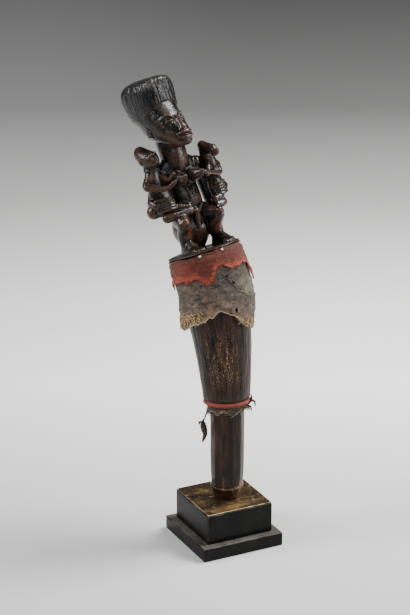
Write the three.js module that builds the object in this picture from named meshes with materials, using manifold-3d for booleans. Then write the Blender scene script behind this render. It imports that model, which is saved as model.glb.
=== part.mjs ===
// Dance wand: a carved seated mother with two children on a curved horn, with torn wraps of red cloth
// and hide, a faceted wooden grip and a black stepped plinth.
// Millimetres, +Z up. The origin is the middle of the plinth's underside, and the plinth's front faces -Y.
import * as THREE from "three";
import { mergeVertices } from "three/addons/utils/BufferGeometryUtils.js";
import Module from "manifold-3d";

const wasm = await Module();
wasm.setup();

// Driving dimensions
const GAP = 0.3; // clearance between pieces that touch
const SLAB = { side: 88, height: 14, bevel: 0.8 };
const BLOCK = { side: 72, height: 31, bevel: 0.8 };
const PLATE = { side: 70.6, height: 1, bevel: 0.3 };
const GRIP = { radius: 17.4, footRadius: 12.6, ridgeHeight: 13, sides: 11 };
const FIGURE = { rimRadius: 36.6, discRadius: 34.6, discHeight: 8, turn: 5 };
const HORN_RADII = [
  [8, 33.4],
  [26, 34.2],
  [50, 32.9],
  [67, 31.5],
  [83, 29.9],
  [102, 28.1],
  [121, 26.3],
  [145, 24.3],
  [153, 23.8],
]; // [length below the figure's disc, radius]
const HORN_LIP = 2.5; // the rounding of the horn's lower edge
const HIDE_THICKNESS = 1;
const CLOTH_THICKNESS = 1;
const SLACK = 0.9; // how loosely each wrap lies on what is under it
const CLOTH_RING = { height: 7, outer: 23.4, lower: 20.6 };
const SHRED_THICKNESS = 1.3;

// Heights on the plinth
const BLOCK_BOTTOM = SLAB.height;
const PLATE_BOTTOM = BLOCK_BOTTOM + BLOCK.height;
const GRIP_BOTTOM = PLATE_BOTTOM + PLATE.height + GAP;

// The wand's axis rises straight from the plinth, bows back, and runs straight again through the disc.
const BEND_START = new THREE.Vector3(2.9, -1.3, 80);
const DISC_TOP = new THREE.Vector3(-2.8, 41.2, 296.7);
const TOP_AXIS = new THREE.Vector3(-0.153, 0.358, 0.921).normalize();
const HORN_TOP = FIGURE.discHeight + GAP;
const BOW = new THREE.CubicBezierCurve3(
  BEND_START,
  BEND_START.clone().add(new THREE.Vector3(0, 0, 57)),
  DISC_TOP.clone().addScaledVector(TOP_AXIS, -86),
  DISC_TOP.clone().addScaledVector(TOP_AXIS, -HORN_TOP),
);
const STRAIGHT = BEND_START.z - GRIP_BOTTOM;
const BOW_LENGTH = BOW.getLength();
const AXIS_LENGTH = STRAIGHT + BOW_LENGTH + HORN_TOP;

// Lengths along that axis, measured down from the top of the figure's disc
const HORN_BOTTOM = HORN_RADII.at(-1)[0] + HORN_LIP;
const GRIP_TOP = HORN_BOTTOM + GAP;
const RING_TOP = HORN_BOTTOM + GAP;
const SHREDS_TOP = RING_TOP + CLOTH_RING.height + GAP;

// Materials
const MATERIALS = {
  carving: new THREE.MeshStandardMaterial({ color: 0x2b1a12, roughness: 0.38, metalness: 0 }),
  horn: new THREE.MeshStandardMaterial({ color: 0x2a211b, roughness: 0.62, metalness: 0 }),
  grip: new THREE.MeshStandardMaterial({ color: 0x2e1c15, roughness: 0.33, metalness: 0 }),
  cloth: new THREE.MeshStandardMaterial({ color: 0x8c3a2c, roughness: 0.95, metalness: 0 }),
  hide: new THREE.MeshStandardMaterial({ color: 0x5c5046, roughness: 0.8, metalness: 0 }),
  nail: new THREE.MeshStandardMaterial({ color: 0xc9bda6, roughness: 0.4, metalness: 0.7 }),
  plate: new THREE.MeshStandardMaterial({ color: 0x5e4a2c, roughness: 0.45, metalness: 0.6 }),
  plinth: new THREE.MeshStandardMaterial({ color: 0x232220, roughness: 0.6, metalness: 0 }),
};

const rad = THREE.MathUtils.degToRad;
const at = (x, y, z) => new THREE.Vector3(x, y, z);

// Geometry helpers

/** Moves every vertex of a geometry by a function that changes the vector it is given. */
function warp(geometry, move) {
  const position = geometry.getAttribute("position");
  const point = new THREE.Vector3();
  for (let i = 0; i < position.count; i++) {
    move(point.fromBufferAttribute(position, i));
    position.setXYZ(i, point.x, point.y, point.z);
  }
  return geometry;
}

/**
 * A lathe about Z, with its first column of corners towards +X. The profile runs up from the axis and
 * back to it, as [radius, height] points.
 */
function turned(profile, sides) {
  const points = profile.map(([r, z]) => new THREE.Vector2(r, z));
  return new THREE.LatheGeometry(points, sides).rotateX(Math.PI / 2).rotateZ(Math.PI / 2);
}

/** A lathe about Z of a closed ring profile, for a tube or a band. */
function ring(profile, sides) {
  return turned([...profile, profile[0]], sides);
}

/** An ellipsoid. */
function ball(centre, rx, ry = rx, rz = rx, sides = 10) {
  const rings = Math.max(4, Math.round(sides * 0.6));
  return new THREE.SphereGeometry(1, sides, rings)
    .rotateX(Math.PI / 2)
    .scale(rx, ry, rz)
    .translate(centre.x, centre.y, centre.z);
}

/**
 * A limb that runs through [place, radius] joints. Its rings stand square to the way through each joint.
 * It starts inside another form and ends in a rounded tip.
 */
function limb(joints, sides = 8) {
  const last = joints.length - 1;
  const ways = joints.map((_, i) => {
    const [before] = joints[Math.max(i - 1, 0)];
    const [after] = joints[Math.min(i + 1, last)];
    return after.clone().sub(before).normalize();
  });
  const rings = joints.map(([centre, radius], i) => ({ centre, radius, way: ways[i] }));
  const capRing = ({ centre, radius, way }, out, share) => ({
    centre: centre.clone().addScaledVector(way, out * radius),
    radius: share * radius,
    way,
  });
  const tip = rings[last];
  rings.unshift(capRing(rings[0], -0.8, 0));
  rings.push(capRing(tip, 0.65, 0.76), capRing(tip, 1, 0));

  const turn = new THREE.Quaternion();
  rings.forEach((r, i) => {
    const from = i > 0 ? rings[i - 1].way : at(0, 0, 1);
    r.turn = turn.premultiply(new THREE.Quaternion().setFromUnitVectors(from, r.way)).clone();
  });
  const profile = rings.map((_, i) => [i === 0 || i === rings.length - 1 ? 0 : 1, i]);
  return warp(turned(profile, sides), (p) => {
    const r = rings[Math.round(p.z)];
    p.setZ(0).multiplyScalar(r.radius).applyQuaternion(r.turn).add(r.centre);
  });
}

/**
 * A body built up from level sections, each {z, x, y, a, b, n}: its height, middle, half sizes and
 * squareness, where n of 2 is an ellipse and more is squarer.
 */
function stack(sections, sides = 16) {
  const last = sections.length - 1;
  const profile = [[0, 0], ...sections.map((_, i) => [1, i]), [0, last]];
  return warp(turned(profile, sides), (p) => {
    const s = sections[Math.round(p.z)];
    const n = s.n ?? 2;
    const reach = Math.hypot(p.x, p.y);
    const c = reach > 0 ? p.x / reach : 1;
    const d = reach > 0 ? p.y / reach : 0;
    const r = reach / (Math.abs(c) ** n + Math.abs(d) ** n) ** (1 / n);
    p.set((s.x ?? 0) + s.a * c * r, (s.y ?? 0) + s.b * d * r, s.z);
  });
}

/** A closed geometry as a solid, facing out. */
function solid(geometry) {
  const bare = geometry.index ? geometry.toNonIndexed() : geometry.clone();
  bare.deleteAttribute("normal");
  bare.deleteAttribute("uv");
  const merged = mergeVertices(bare, 1e-4);
  const corners = merged.index.array;
  const faces = [];
  for (let i = 0; i < corners.length; i += 3) {
    const [a, b, c] = [corners[i], corners[i + 1], corners[i + 2]];
    if (a !== b && b !== c && c !== a) faces.push(a, b, c);
  }
  const build = (triVerts) =>
    new wasm.Manifold(
      new wasm.Mesh({ numProp: 3, vertProperties: merged.attributes.position.array, triVerts }),
    );
  const made = build(new Uint32Array(faces));
  return made.volume() > 0 ? made : build(new Uint32Array(faces.reverse()));
}

/** All the geometries joined into one solid. */
function fuse(geometries) {
  return geometries.flat(Infinity).map(solid).reduce((whole, piece) => whole.add(piece));
}

/** A named mesh of a solid. */
function meshOf(name, made, material) {
  const { vertProperties, triVerts } = made.getMesh();
  const geometry = new THREE.BufferGeometry();
  geometry.setAttribute("position", new THREE.BufferAttribute(new Float32Array(vertProperties), 3));
  geometry.setIndex(new THREE.BufferAttribute(new Uint32Array(triVerts), 1));
  geometry.computeVertexNormals();
  const mesh = new THREE.Mesh(geometry, material);
  mesh.name = name;
  return mesh;
}

// The bowed axis

/** The frame of the axis at a length below the disc's top: its origin, and X, Y and Z along the axis. */
function axisFrame(below) {
  const up = AXIS_LENGTH - below;
  const along = THREE.MathUtils.clamp(up - STRAIGHT, 0, BOW_LENGTH);
  const share = along / BOW_LENGTH;
  const z = BOW.getTangentAt(share);
  const origin = BOW.getPointAt(share).addScaledVector(z, up - STRAIGHT - along);
  const x = at(1, 0, 0).addScaledVector(z, -z.x).normalize();
  return { origin, x, y: z.clone().cross(x), z };
}

/** Bends a geometry that was made straight about Z, with its height 0 at the disc's top, along the axis. */
function bow(geometry) {
  return warp(geometry, (p) => {
    const { origin, x, y } = axisFrame(-p.z);
    p.copy(origin.addScaledVector(x, p.x).addScaledVector(y, p.y));
  });
}

/** The value at x on the straight lines between [x, value] points, level beyond the ends. */
function between(points, x) {
  const next = points.findIndex(([px]) => px > x);
  if (next === 0) return points[0][1];
  if (next < 0) return points.at(-1)[1];
  const [x0, v0] = points[next - 1];
  const [x1, v1] = points[next];
  return THREE.MathUtils.mapLinear(x, x0, x1, v0, v1);
}

const hornRadius = (below) => between(HORN_RADII, below);

// Torn wraps. Their angles are counted in degrees from a line near the figure's front, a little to its
// right, and grow towards its left. Their edges are [angle, length below the disc] points round a whole turn.
const FRONT_ANGLE = 245;

const CLOTH_TOP = [
  [-180, 3.4],
  [-120, 4],
  [-90, 3.6],
  [-53, 2.9],
  [-40, 3],
  [-29, 5.6],
  [-20, 4.8],
  [-7, 2.9],
  [8, 3.6],
  [26, 2.9],
  [77, 3.5],
  [130, 2.9],
  [180, 3.4],
];
const CLOTH_EDGE = [
  [-180, 25],
  [-158, 27],
  [-138, 32],
  [-130, 25],
  [-108, 28],
  [-98, 26],
  [-93, 32],
  [-86, 31],
  [-80, 26],
  [-71, 27],
  [-65, 26.5],
  [-46.5, 24.8],
  [-40.5, 28.4],
  [-32.5, 26.2],
  [-24.5, 24.5],
  [-18, 25.6],
  [-13, 29.6],
  [-8, 32.3],
  [-4, 32.5],
  [1.5, 30],
  [5.5, 27],
  [7.5, 22],
  [12.5, 18.3],
  [22.5, 17.8],
  [27, 20.8],
  [33, 23.6],
  [39, 22.5],
  [48, 22.9],
  [54.5, 21.2],
  [67, 22],
  [75, 23.4],
  [79, 32],
  [84, 39],
  [94, 40],
  [99, 31],
  [107, 25],
  [126, 28],
  [147, 22],
  [169, 28],
  [180, 25],
];
const HIDE_EDGE = [
  [-180, 67],
  [-155, 75],
  [-134, 65],
  [-112, 73],
  [-100, 76],
  [-90, 77.5],
  [-84, 74.5],
  [-75, 77],
  [-66.5, 75.4],
  [-54, 72.9],
  [-44, 70.6],
  [-35, 70],
  [-28, 68.6],
  [-22, 66.9],
  [-16.5, 63.9],
  [-12.5, 65.8],
  [-4, 62.3],
  [0, 60.1],
  [5.5, 60.5],
  [16.5, 64.2],
  [28, 67.9],
  [36.5, 74],
  [44, 78.9],
  [52, 80.6],
  [58.5, 82.4],
  [63, 81.6],
  [68, 80],
  [72, 73],
  [77, 71.5],
  [84, 67],
  [92, 69],
  [100, 65],
  [119, 68],
  [130, 73],
  [148, 74],
  [170, 66],
  [180, 67],
];
// How far the hide's torn edge stands off the horn.
const HIDE_FLARE = [
  [-180, 1],
  [-130, 2],
  [-85, 5.6],
  [-50, 2.6],
  [-20, 0.8],
  [0, 0.6],
  [30, 0.8],
  [60, 2.6],
  [85, 2.4],
  [120, 1],
  [180, 1],
];
const HIDE_TOP = FIGURE.discHeight + 3;
const CLOTH_SHOULDER = FIGURE.discHeight + 1.5;

/**
 * A sheet wrapped round the axis, as a closed shell. It has a column of corners at each point of its
 * lower edge. The levels are functions of the angle, from the top edge down, that give lengths below the
 * figure's disc, and the inner radius is a function of the length below and the angle.
 */
function wrap({ edge, levels, inner, thickness }) {
  const angles = edge.slice(0, -1).map(([angle]) => angle);
  const columns = angles.length;
  const profile = [];
  for (let i = levels.length - 1; i >= 0; i--) profile.push([2, -i]);
  for (let i = 0; i < levels.length; i++) profile.push([1, -i]);
  return bow(
    warp(ring(profile.reverse(), columns), (p) => {
      const column = Math.round((Math.atan2(p.y, p.x) / (2 * Math.PI)) * columns);
      const angle = angles[THREE.MathUtils.euclideanModulo(column, columns)];
      const below = levels[Math.round(-p.z)](angle);
      const outside = Math.hypot(p.x, p.y) > 1.5;
      const r = inner(below, angle) + (outside ? thickness : 0);
      const turn = rad(angle + FRONT_ANGLE);
      p.set(r * Math.cos(turn), r * Math.sin(turn), -below);
    }),
  );
}

/** The hide's inner radius: it lies on the horn, and stands off towards its torn edge. */
function hideInner(below, angle) {
  const curl = between(HIDE_FLARE, angle) * THREE.MathUtils.smoothstep(below, 38, 74);
  return hornRadius(below) + GAP + SLACK + curl;
}

function hideCuff() {
  const bottom = (angle) => between(HIDE_EDGE, angle);
  return wrap({
    edge: HIDE_EDGE,
    levels: [() => HIDE_TOP, () => 30, bottom],
    inner: hideInner,
    thickness: HIDE_THICKNESS,
  });
}

/** The cloth's inner radius: on the figure's disc at its top, and on the hide below that. */
function clothInner(below, angle) {
  const onDisc = FIGURE.discRadius + SLACK;
  const onHide = hideInner(below, angle) + HIDE_THICKNESS + SLACK;
  return below < CLOTH_SHOULDER ? onDisc : onHide;
}

function clothBand() {
  const bottom = (angle) => between(CLOTH_EDGE, angle);
  return wrap({
    edge: CLOTH_EDGE,
    levels: [(angle) => between(CLOTH_TOP, angle), () => CLOTH_SHOULDER, bottom],
    inner: clothInner,
    thickness: CLOTH_THICKNESS,
  });
}

// Horn, ties and grip

function horn() {
  const sides = HORN_RADII.slice(1).map(([below, r]) => [r, -below]).reverse();
  const foot = HORN_RADII.at(-1)[1] - HORN_LIP;
  const profile = [[0, -HORN_BOTTOM], [foot, -HORN_BOTTOM], ...sides];
  profile.push([hornRadius(HORN_TOP), -HORN_TOP], [0, -HORN_TOP]);
  return solid(bow(turned(profile, 20)));
}

/** The roll of red cloth that is wound round the grip, under the horn. */
function clothRing() {
  const { height, outer, lower } = CLOTH_RING;
  const inner = GRIP.radius + 2 * GAP;
  const profile = [
    [inner, -height],
    [lower, -height],
    [outer, -height * 0.4],
    [outer - 0.9, 0],
    [inner, 0],
  ];
  return solid(bow(ring(profile, 20).translate(0, 0, -RING_TOP)));
}

// How far the shreds reach below the cloth roll, as [angle, length] points round a whole turn.
const SHRED_EDGE = [
  [-180, 10],
  [-158, 8],
  [-135, 11],
  [-110, 5],
  [-98, 9],
  [-88, 14],
  [-78, 10],
  [-66, 12],
  [-58, 7],
  [-48, 6],
  [-38, 10],
  [-28, 12],
  [-20, 6],
  [-10, 4],
  [-2, 5],
  [8, 9],
  [16, 13],
  [23, 10],
  [42, 5],
  [52, 9],
  [60, 7],
  [72, 4],
  [85, 6],
  [108, 12],
  [130, 5],
  [155, 14],
  [166, 9],
  [180, 10],
];

/** What is left of a second hide wrap, below the cloth roll, with one strip hanging off and one tuft. */
function hideShreds() {
  const top = SHREDS_TOP;
  const inner = GRIP.radius + 2 * GAP;
  const band = wrap({
    edge: SHRED_EDGE,
    levels: [() => top, (angle) => top + between(SHRED_EDGE, angle)],
    inner: () => inner,
    thickness: SHRED_THICKNESS,
  });
  const place = (angle, r, below) => {
    const { origin, x, y } = axisFrame(below);
    const turn = rad(angle + FRONT_ANGLE);
    return origin.addScaledVector(x, r * Math.cos(turn)).addScaledVector(y, r * Math.sin(turn));
  };
  const wall = inner + SHRED_THICKNESS * 0.6;
  const strip = limb(
    [
      [place(-78, wall, top + 8), 0.9],
      [place(-84, wall + 3, top + 14), 0.8],
      [place(-86, wall + 5.5, top + 20), 0.9],
      [place(-84, wall + 3.6, top + 27), 2.1],
      [place(-83, wall + 2.2, top + 34), 1.7],
      [place(-86, wall + 5, top + 40), 0.8],
    ],
    6,
  );
  const tuft = limb(
    [
      [place(80, wall, top + 3), 1],
      [place(84, wall + 5.5, top + 0.5), 1.3],
      [place(83, wall + 7.5, top + 3), 1],
      [place(80, wall + 5, top + 7), 0.8],
    ],
    6,
  );
  return fuse([band, strip, tuft]);
}

function grip() {
  const { radius, footRadius, ridgeHeight, sides } = GRIP;
  const height = AXIS_LENGTH - GRIP_TOP;
  const profile = [
    [0, 0],
    [footRadius, 0],
    [footRadius + 1, 3],
    [radius - 0.9, ridgeHeight - 2],
    [radius - 0.3, ridgeHeight],
    [radius - 1.4, ridgeHeight + 2.5],
    [radius - 0.7, ridgeHeight + 14],
    [radius - 0.4, height * 0.5],
    [radius, height - 14],
    [radius, height],
    [0, height],
  ];
  return solid(bow(turned(profile, sides).translate(0, 0, -AXIS_LENGTH)));
}

// Dome-headed nails through the wraps, each {angle, below}
const NAILS = [
  { angle: -8, below: 4.9 },
  { angle: 28, below: 4.6 },
  { angle: 74, below: 5 },
  { angle: 125, below: 5 },
  { angle: 180, below: 5.2 },
  { angle: -126, below: 5.4 },
  { angle: -72, below: 5.2 },
];
const NAIL = { radius: 1.25, height: 0.9 };

function nail({ angle, below }) {
  const { origin, x, y, z } = axisFrame(below);
  const turn = rad(angle + FRONT_ANGLE);
  const flat = x.clone().multiplyScalar(Math.cos(turn)).addScaledVector(y, Math.sin(turn));
  // The cloth slopes out from its top edge to its shoulder, and the nail stands square to that slope.
  const edge = between(CLOTH_TOP, angle);
  const rise = clothInner(CLOTH_SHOULDER, angle) - clothInner(edge, angle);
  const slope = Math.atan2(rise, CLOTH_SHOULDER - edge);
  const r = clothInner(edge, angle) + CLOTH_THICKNESS + (below - edge) * Math.tan(slope);
  const out = flat.clone().multiplyScalar(Math.cos(slope)).addScaledVector(z, Math.sin(slope));
  const head = turned(
    [
      [0, 0],
      [NAIL.radius, 0],
      [NAIL.radius * 0.72, NAIL.height * 0.7],
      [0, NAIL.height],
    ],
    6,
  );
  const side = z.clone().cross(out).normalize();
  const frame = new THREE.Matrix4().makeBasis(side, out.clone().cross(side), out);
  frame.setPosition(origin.addScaledVector(flat, r).addScaledVector(out, GAP));
  return solid(head.applyMatrix4(frame));
}

// Plinth

/** A square board with bevelled edges, its underside at z 0. */
function board({ side, height, bevel }) {
  const half = side / 2;
  const sections = [
    { z: 0, a: half - bevel, b: half - bevel },
    { z: bevel, a: half, b: half },
    { z: height - bevel, a: half, b: half },
    { z: height, a: half - bevel, b: half - bevel },
  ];
  const corner = Math.SQRT1_2;
  const profile = [[0, 0], ...sections.map((_, i) => [1, i]), [0, sections.length - 1]];
  return warp(turned(profile, 4).rotateZ(Math.PI / 4), (p) => {
    const s = sections[Math.round(p.z)];
    p.set((p.x / corner) * s.a, (p.y / corner) * s.b, s.z);
  });
}

// The carving, in its own frame: the middle of the disc's top is the origin, the mother faces -Y, and her
// left side is at +X. Paired places are given for her left side.
const SHOULDER = { place: at(21.6, 2.5, 82), radius: 7.6 };
const HIP = { place: at(10, 5, 36), radius: 9.2 };
const THIGH = { place: at(16.4, -4.6, 32.4), radius: 9.4 };
const KNEE = { place: at(20.4, -13.6, 29.4), radius: 6.7 };
const CALF = { place: at(17.6, -6, 20), radius: 7.8 };
const ANKLE = { place: at(18.2, -4, 8), radius: 6.8 };
const HEAD = { foot: 101.5, turn: 8 };

/** A place on the mother's left (side 1) or right (side -1). */
const onSide = (side, p) => at(side * p.x, p.y, p.z);

/** The disc that the mother sits on, with a low slope inside its rim. */
function disc() {
  const { rimRadius, discRadius, discHeight } = FIGURE;
  const profile = [
    [0, -discHeight],
    [discRadius, -discHeight],
    [discRadius, -2.4],
    [rimRadius, -2.2],
    [rimRadius, -1.4],
    [rimRadius - 6, 0],
    [0, 0],
  ];
  return turned(profile, 24);
}

/** The rounded stool, which narrows to its foot. */
function stool() {
  const profile = [
    [0, -1],
    [7.6, -1],
    [8.2, 1.5],
    [15, 10],
    [18, 15],
    [19, 22],
    [17, 32],
    [0, 33],
  ];
  return turned(profile, 14).translate(1.2, 11.9, 0);
}

/**
 * The mother's head and face, from the chin at z 0 to the hairline. The face slopes: the mouth is far
 * forward and the brow far back.
 */
function motherHead() {
  const skull = stack(
    [
      { z: 0, y: -20.5, a: 7, b: 5.5 },
      { z: 2.8, y: -17.3, a: 9.6, b: 13 },
      { z: 7.7, y: -11.4, a: 13, b: 19 },
      { z: 13.5, y: -4, a: 15.8, b: 24.8, n: 2.2 },
      { z: 19.4, y: -0.2, a: 17.2, b: 24.6, n: 2.3 },
      { z: 26, y: 3, a: 17.9, b: 24.9, n: 2.3 },
      { z: 33, y: 7.2, a: 18.3, b: 26, n: 2.3 },
      { z: 46, y: 12, a: 18, b: 25.4, n: 2.4 },
    ],
    13,
  );
  const nose = stack(
    [
      { z: 16.5, y: -27.2, a: 4.6, b: 3 },
      { z: 19.5, y: -26.6, a: 4.8, b: 3.6 },
      { z: 30, y: -19.8, a: 2, b: 2.4 },
    ],
    6,
  );
  const sides = [-1, 1].map((side) => {
    const brow = [at(side * 2.6, -20.4, 28.5), at(side * 8, -18.4, 33), at(side * 13.4, -13.4, 31)];
    return [
      limb(brow.map((p) => [p, 1.3]), 5),
      ball(at(side * 7.4, -19, 27), 4.2, 2.3, 2.3, 6), // closed eye
      ball(at(side * 17, 4.5, 21), 2, 4, 5.6, 6), // ear
    ];
  });
  return [skull, nose, lip(8.5, -26.4, -30.8, 12, 13.4, 2.1), lip(8.5, -26.4, -30.8, 8.6, 7.4, 2.2), sides];
}

/** A lip from corner to corner of the mouth. */
function lip(half, cornerY, middleY, cornerZ, middleZ, r) {
  const corner = (side) => [at(side * half, cornerY, cornerZ), r * 0.7];
  return limb([corner(-1), [at(0, middleY, middleZ), r], corner(1)], 5);
}

/** A child's head, whose face slopes back to a rounded crown under a close cap. */
function childHead() {
  const levels = [
    { z: 0, y: -4, a: 5, b: 7 },
    { z: 1.5, y: -3.4, a: 6.6, b: 9.8 },
    { z: 5.5, y: -1.8, a: 8.2, b: 12.2 },
    { z: 10, y: 0, a: 9, b: 12.8 },
    { z: 13, y: 1.8, a: 8.6, b: 11.8 },
    { z: 16, y: 4.4, a: 7.4, b: 9.4 },
    { z: 19, y: 6.9, a: 5.6, b: 6.6 },
    { z: 21.6, y: 7.6, a: 3.2, b: 3.6 },
    { z: 22.7, y: 7.2, a: 1.2, b: 1.2 },
  ];
  const skull = stack(levels.filter(({ z }) => z <= 16), 9);
  const cap = stack(
    levels.filter(({ z }) => z >= 13).map((level) => ({ ...level, a: level.a + 0.4, b: level.b + 0.4 })),
    9,
  );
  warp(cap, (p) => {
    p.z -= p.z < 14 ? 0.14 * (p.y + 4) : 0;
  });
  const nose = stack(
    [
      { z: 6.8, y: -13.6, a: 2, b: 1.4 },
      { z: 8.2, y: -13.4, a: 2.1, b: 1.6 },
      { z: 12.6, y: -9.8, a: 1, b: 1.2 },
    ],
    6,
  );
  const sides = [-1, 1].map((side) => [
    ball(at(side * 3.5, -9.8, 11.6), 1.9, 1.2, 1.1, 6), // closed eye
    ball(at(side * 8.3, 2, 7), 1.1, 1.9, 2.6, 5), // ear
  ]);
  return [skull, cap, nose, lip(3.8, -12.2, -14.4, 5.1, 5.6, 1), lip(3.8, -12.2, -14.4, 3.5, 3, 1), sides];
}

/** The mother's flared coiffure of upright locks. Its lower edge, the hairline, falls towards the back. */
function coiffure() {
  const sections = [
    { z: 48, y: 11.6, a: 18.9, b: 26.4, n: 2.4 },
    { z: 49.5, y: 12, a: 19.6, b: 26.8, n: 2.5 },
    { z: 60, y: 13.3, a: 21, b: 28.3, n: 3 },
    { z: 65.5, y: 11.6, a: 20.4, b: 27, n: 3 },
    { z: 70.5, y: 9.6, a: 16.6, b: 23.6, n: 2.8 },
    { z: 73.2, y: 9, a: 9, b: 14, n: 2.4 },
  ];
  const locks = 24;
  const lockDepth = 0.35;
  const fall = 0.33; // how fast the hairline drops towards the back
  const foot = sections[0].z;
  const crown = sections.at(-1).z;
  return warp(stack(sections, locks), (p) => {
    const up = (p.z - foot) / (crown - foot);
    const drop = fall * (p.y + 16) * (1 - up) ** 2;
    const turn = Math.atan2(p.y - 11, p.x);
    const lock = Math.round((turn / (2 * Math.PI)) * locks) % 2 ? lockDepth : -lockDepth;
    const cut = up > 0.85 ? 0 : lock;
    p.x += cut * Math.cos(turn);
    p.y += cut * Math.sin(turn) - 0.3 * drop;
    p.z -= drop;
  });
}

/** A foot with a ridge along its instep. The half of it that is under the disc's top is lost in the disc. */
function foot(side) {
  const rows = [
    { z: 0, a: 6, b: 7 },
    { z: 4, a: 7.4, b: 13 },
    { z: 10, a: 7.6, b: 14.6 },
    { z: 16, a: 7.4, b: 10.8 },
    { z: 22, a: 7, b: 6.6 },
    { z: 27.5, a: 4.6, b: 2.6 },
  ];
  return stack(rows.map((row) => ({ ...row, n: 1.6 })), 8)
    .rotateX(Math.PI / 2)
    .translate(side * ANKLE.place.x, 3, 0);
}

/** The mother's legs, which part at the knees. */
function legs() {
  return [-1, 1].map((side) => {
    const joints = [HIP, THIGH, KNEE, CALF, ANKLE].map(({ place, radius }) => [onSide(side, place), radius]);
    const [knee] = joints[2];
    return [
      limb(joints, 10),
      ball(knee.clone().add(at(0, -4.6, 1.2)), 4, 3.2, 4.4, 7), // kneecap
      foot(side),
    ];
  });
}

function breast(side) {
  return limb(
    [
      [at(side * 8, -6, 73), 7.2],
      [at(side * 9.4, -18, 72), 5.8],
      [at(side * 9.8, -24.5, 73), 3.2],
      [at(side * 10, -28, 74), 1.6],
    ],
    9,
  );
}

/** The mother's trunk, neck, shoulders and breasts, the scars on her belly and her apron. */
function trunk() {
  const body = stack(
    [
      { z: 27, y: 11, a: 14, b: 12 },
      { z: 34, y: 8.5, a: 17, b: 14.5 },
      { z: 41, y: 4.5, a: 16, b: 12.6 },
      { z: 48, y: 0.5, a: 14.6, b: 12.2 },
      { z: 55, y: 0.2, a: 14.2, b: 12 },
      { z: 63, y: 1.5, a: 14.4, b: 11.2 },
      { z: 71, y: 2.5, a: 16.5, b: 10.8 },
      { z: 80, y: 2.5, a: 22, b: 9.4 },
      { z: 87, y: 2.2, a: 22.4, b: 8.4 },
      { z: 94, y: 1.6, a: 13.6, b: 8.4 },
    ],
    12,
  );
  const neck = stack(
    [
      { z: 78, y: 1, a: 12, b: 10 },
      { z: 90, y: 0.8, a: 13.2, b: 12.6 },
      { z: 100, y: 0.8, a: 13.6, b: 13 },
      { z: 114, y: 1.5, a: 13.6, b: 13 },
    ],
    12,
  );
  const sides = [-1, 1].map((side) => [
    ball(onSide(side, SHOULDER.place), SHOULDER.radius, SHOULDER.radius, SHOULDER.radius, 10),
    breast(side),
    limb([[at(side * 4, -11.2, 62), 1.2], [at(side * 1.4, -12, 51), 1.1]], 5), // scar
  ]);
  const apron = limb([[at(0, -8.4, 37), 4], [at(0, -4.6, 22), 3.2]], 8);
  return [body, neck, sides, apron];
}

/** A hand laid on a child's hip: a palm, and five fingers side by side as ridges, stacked upwards. */
function hand({ side, wrist, knuckles, tips }) {
  const fingers = 5;
  const pitch = 2.6;
  const depth = 1.9;
  const outline = new THREE.Shape();
  outline.moveTo(-depth, 0);
  for (let i = 0; i < fingers; i++) {
    outline.lineTo(depth * 0.35, pitch * i);
    outline.lineTo(depth, pitch * (i + 0.28));
    outline.lineTo(depth, pitch * (i + 0.72));
  }
  outline.lineTo(depth * 0.35, pitch * fingers);
  outline.lineTo(-depth, pitch * fingers);
  outline.closePath();
  const along = tips.clone().sub(knuckles);
  const ridges = new THREE.ExtrudeGeometry(outline, { depth: along.length(), bevelEnabled: false });
  ridges.translate(0, (-pitch * fingers) / 2, 0);
  const way = along.normalize();
  const up = at(0, 0, 1).addScaledVector(way, -way.z).normalize();
  const out = up.clone().cross(way).multiplyScalar(side);
  const frame = new THREE.Matrix4().makeBasis(out, up, way).setPosition(knuckles);
  const palm = wrist.clone().lerp(knuckles, 0.75);
  return [limb([[wrist, 3.8], [palm, 4.8]], 7), ridges.applyMatrix4(frame)];
}

/** One of the mother's arms: down and back to the elbow, then forward round the child. */
function arm({ side, elbow, wrist, knuckles, tips }) {
  const shoulder = onSide(side, SHOULDER.place);
  return [limb([[shoulder, 6.8], [elbow, 5.7], [wrist, 3.8]], 8), hand({ side, wrist, knuckles, tips })];
}

/** A child: its trunk, head, buttocks and limbs. The head is sized across and up. */
function child({ trunk: sections, chin, headSize: [across, up], headTurn, seat, limbs }) {
  const crown = childHead().flat(Infinity);
  for (const g of crown) {
    g.scale(across, across, up).rotateZ(rad(headTurn)).translate(chin.x, chin.y, chin.z);
  }
  const buttock = ball(seat.place, seat.radius, seat.radius, seat.radius, 9);
  return [stack(sections, 8), crown, buttock, limbs.map((joints) => limb(joints, 6))];
}

const RIGHT_ARM = {
  side: -1,
  elbow: at(-31.5, 12, 57),
  wrist: at(-38.5, 0.5, 57),
  knuckles: at(-36, -5, 53.6),
  tips: at(-22.5, -9.5, 53.4),
};
const LEFT_ARM = {
  side: 1,
  elbow: at(29.4, 8, 41),
  wrist: at(40.5, -1, 53.5),
  knuckles: at(39, -8.5, 53),
  tips: at(28, -14, 53),
};

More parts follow.
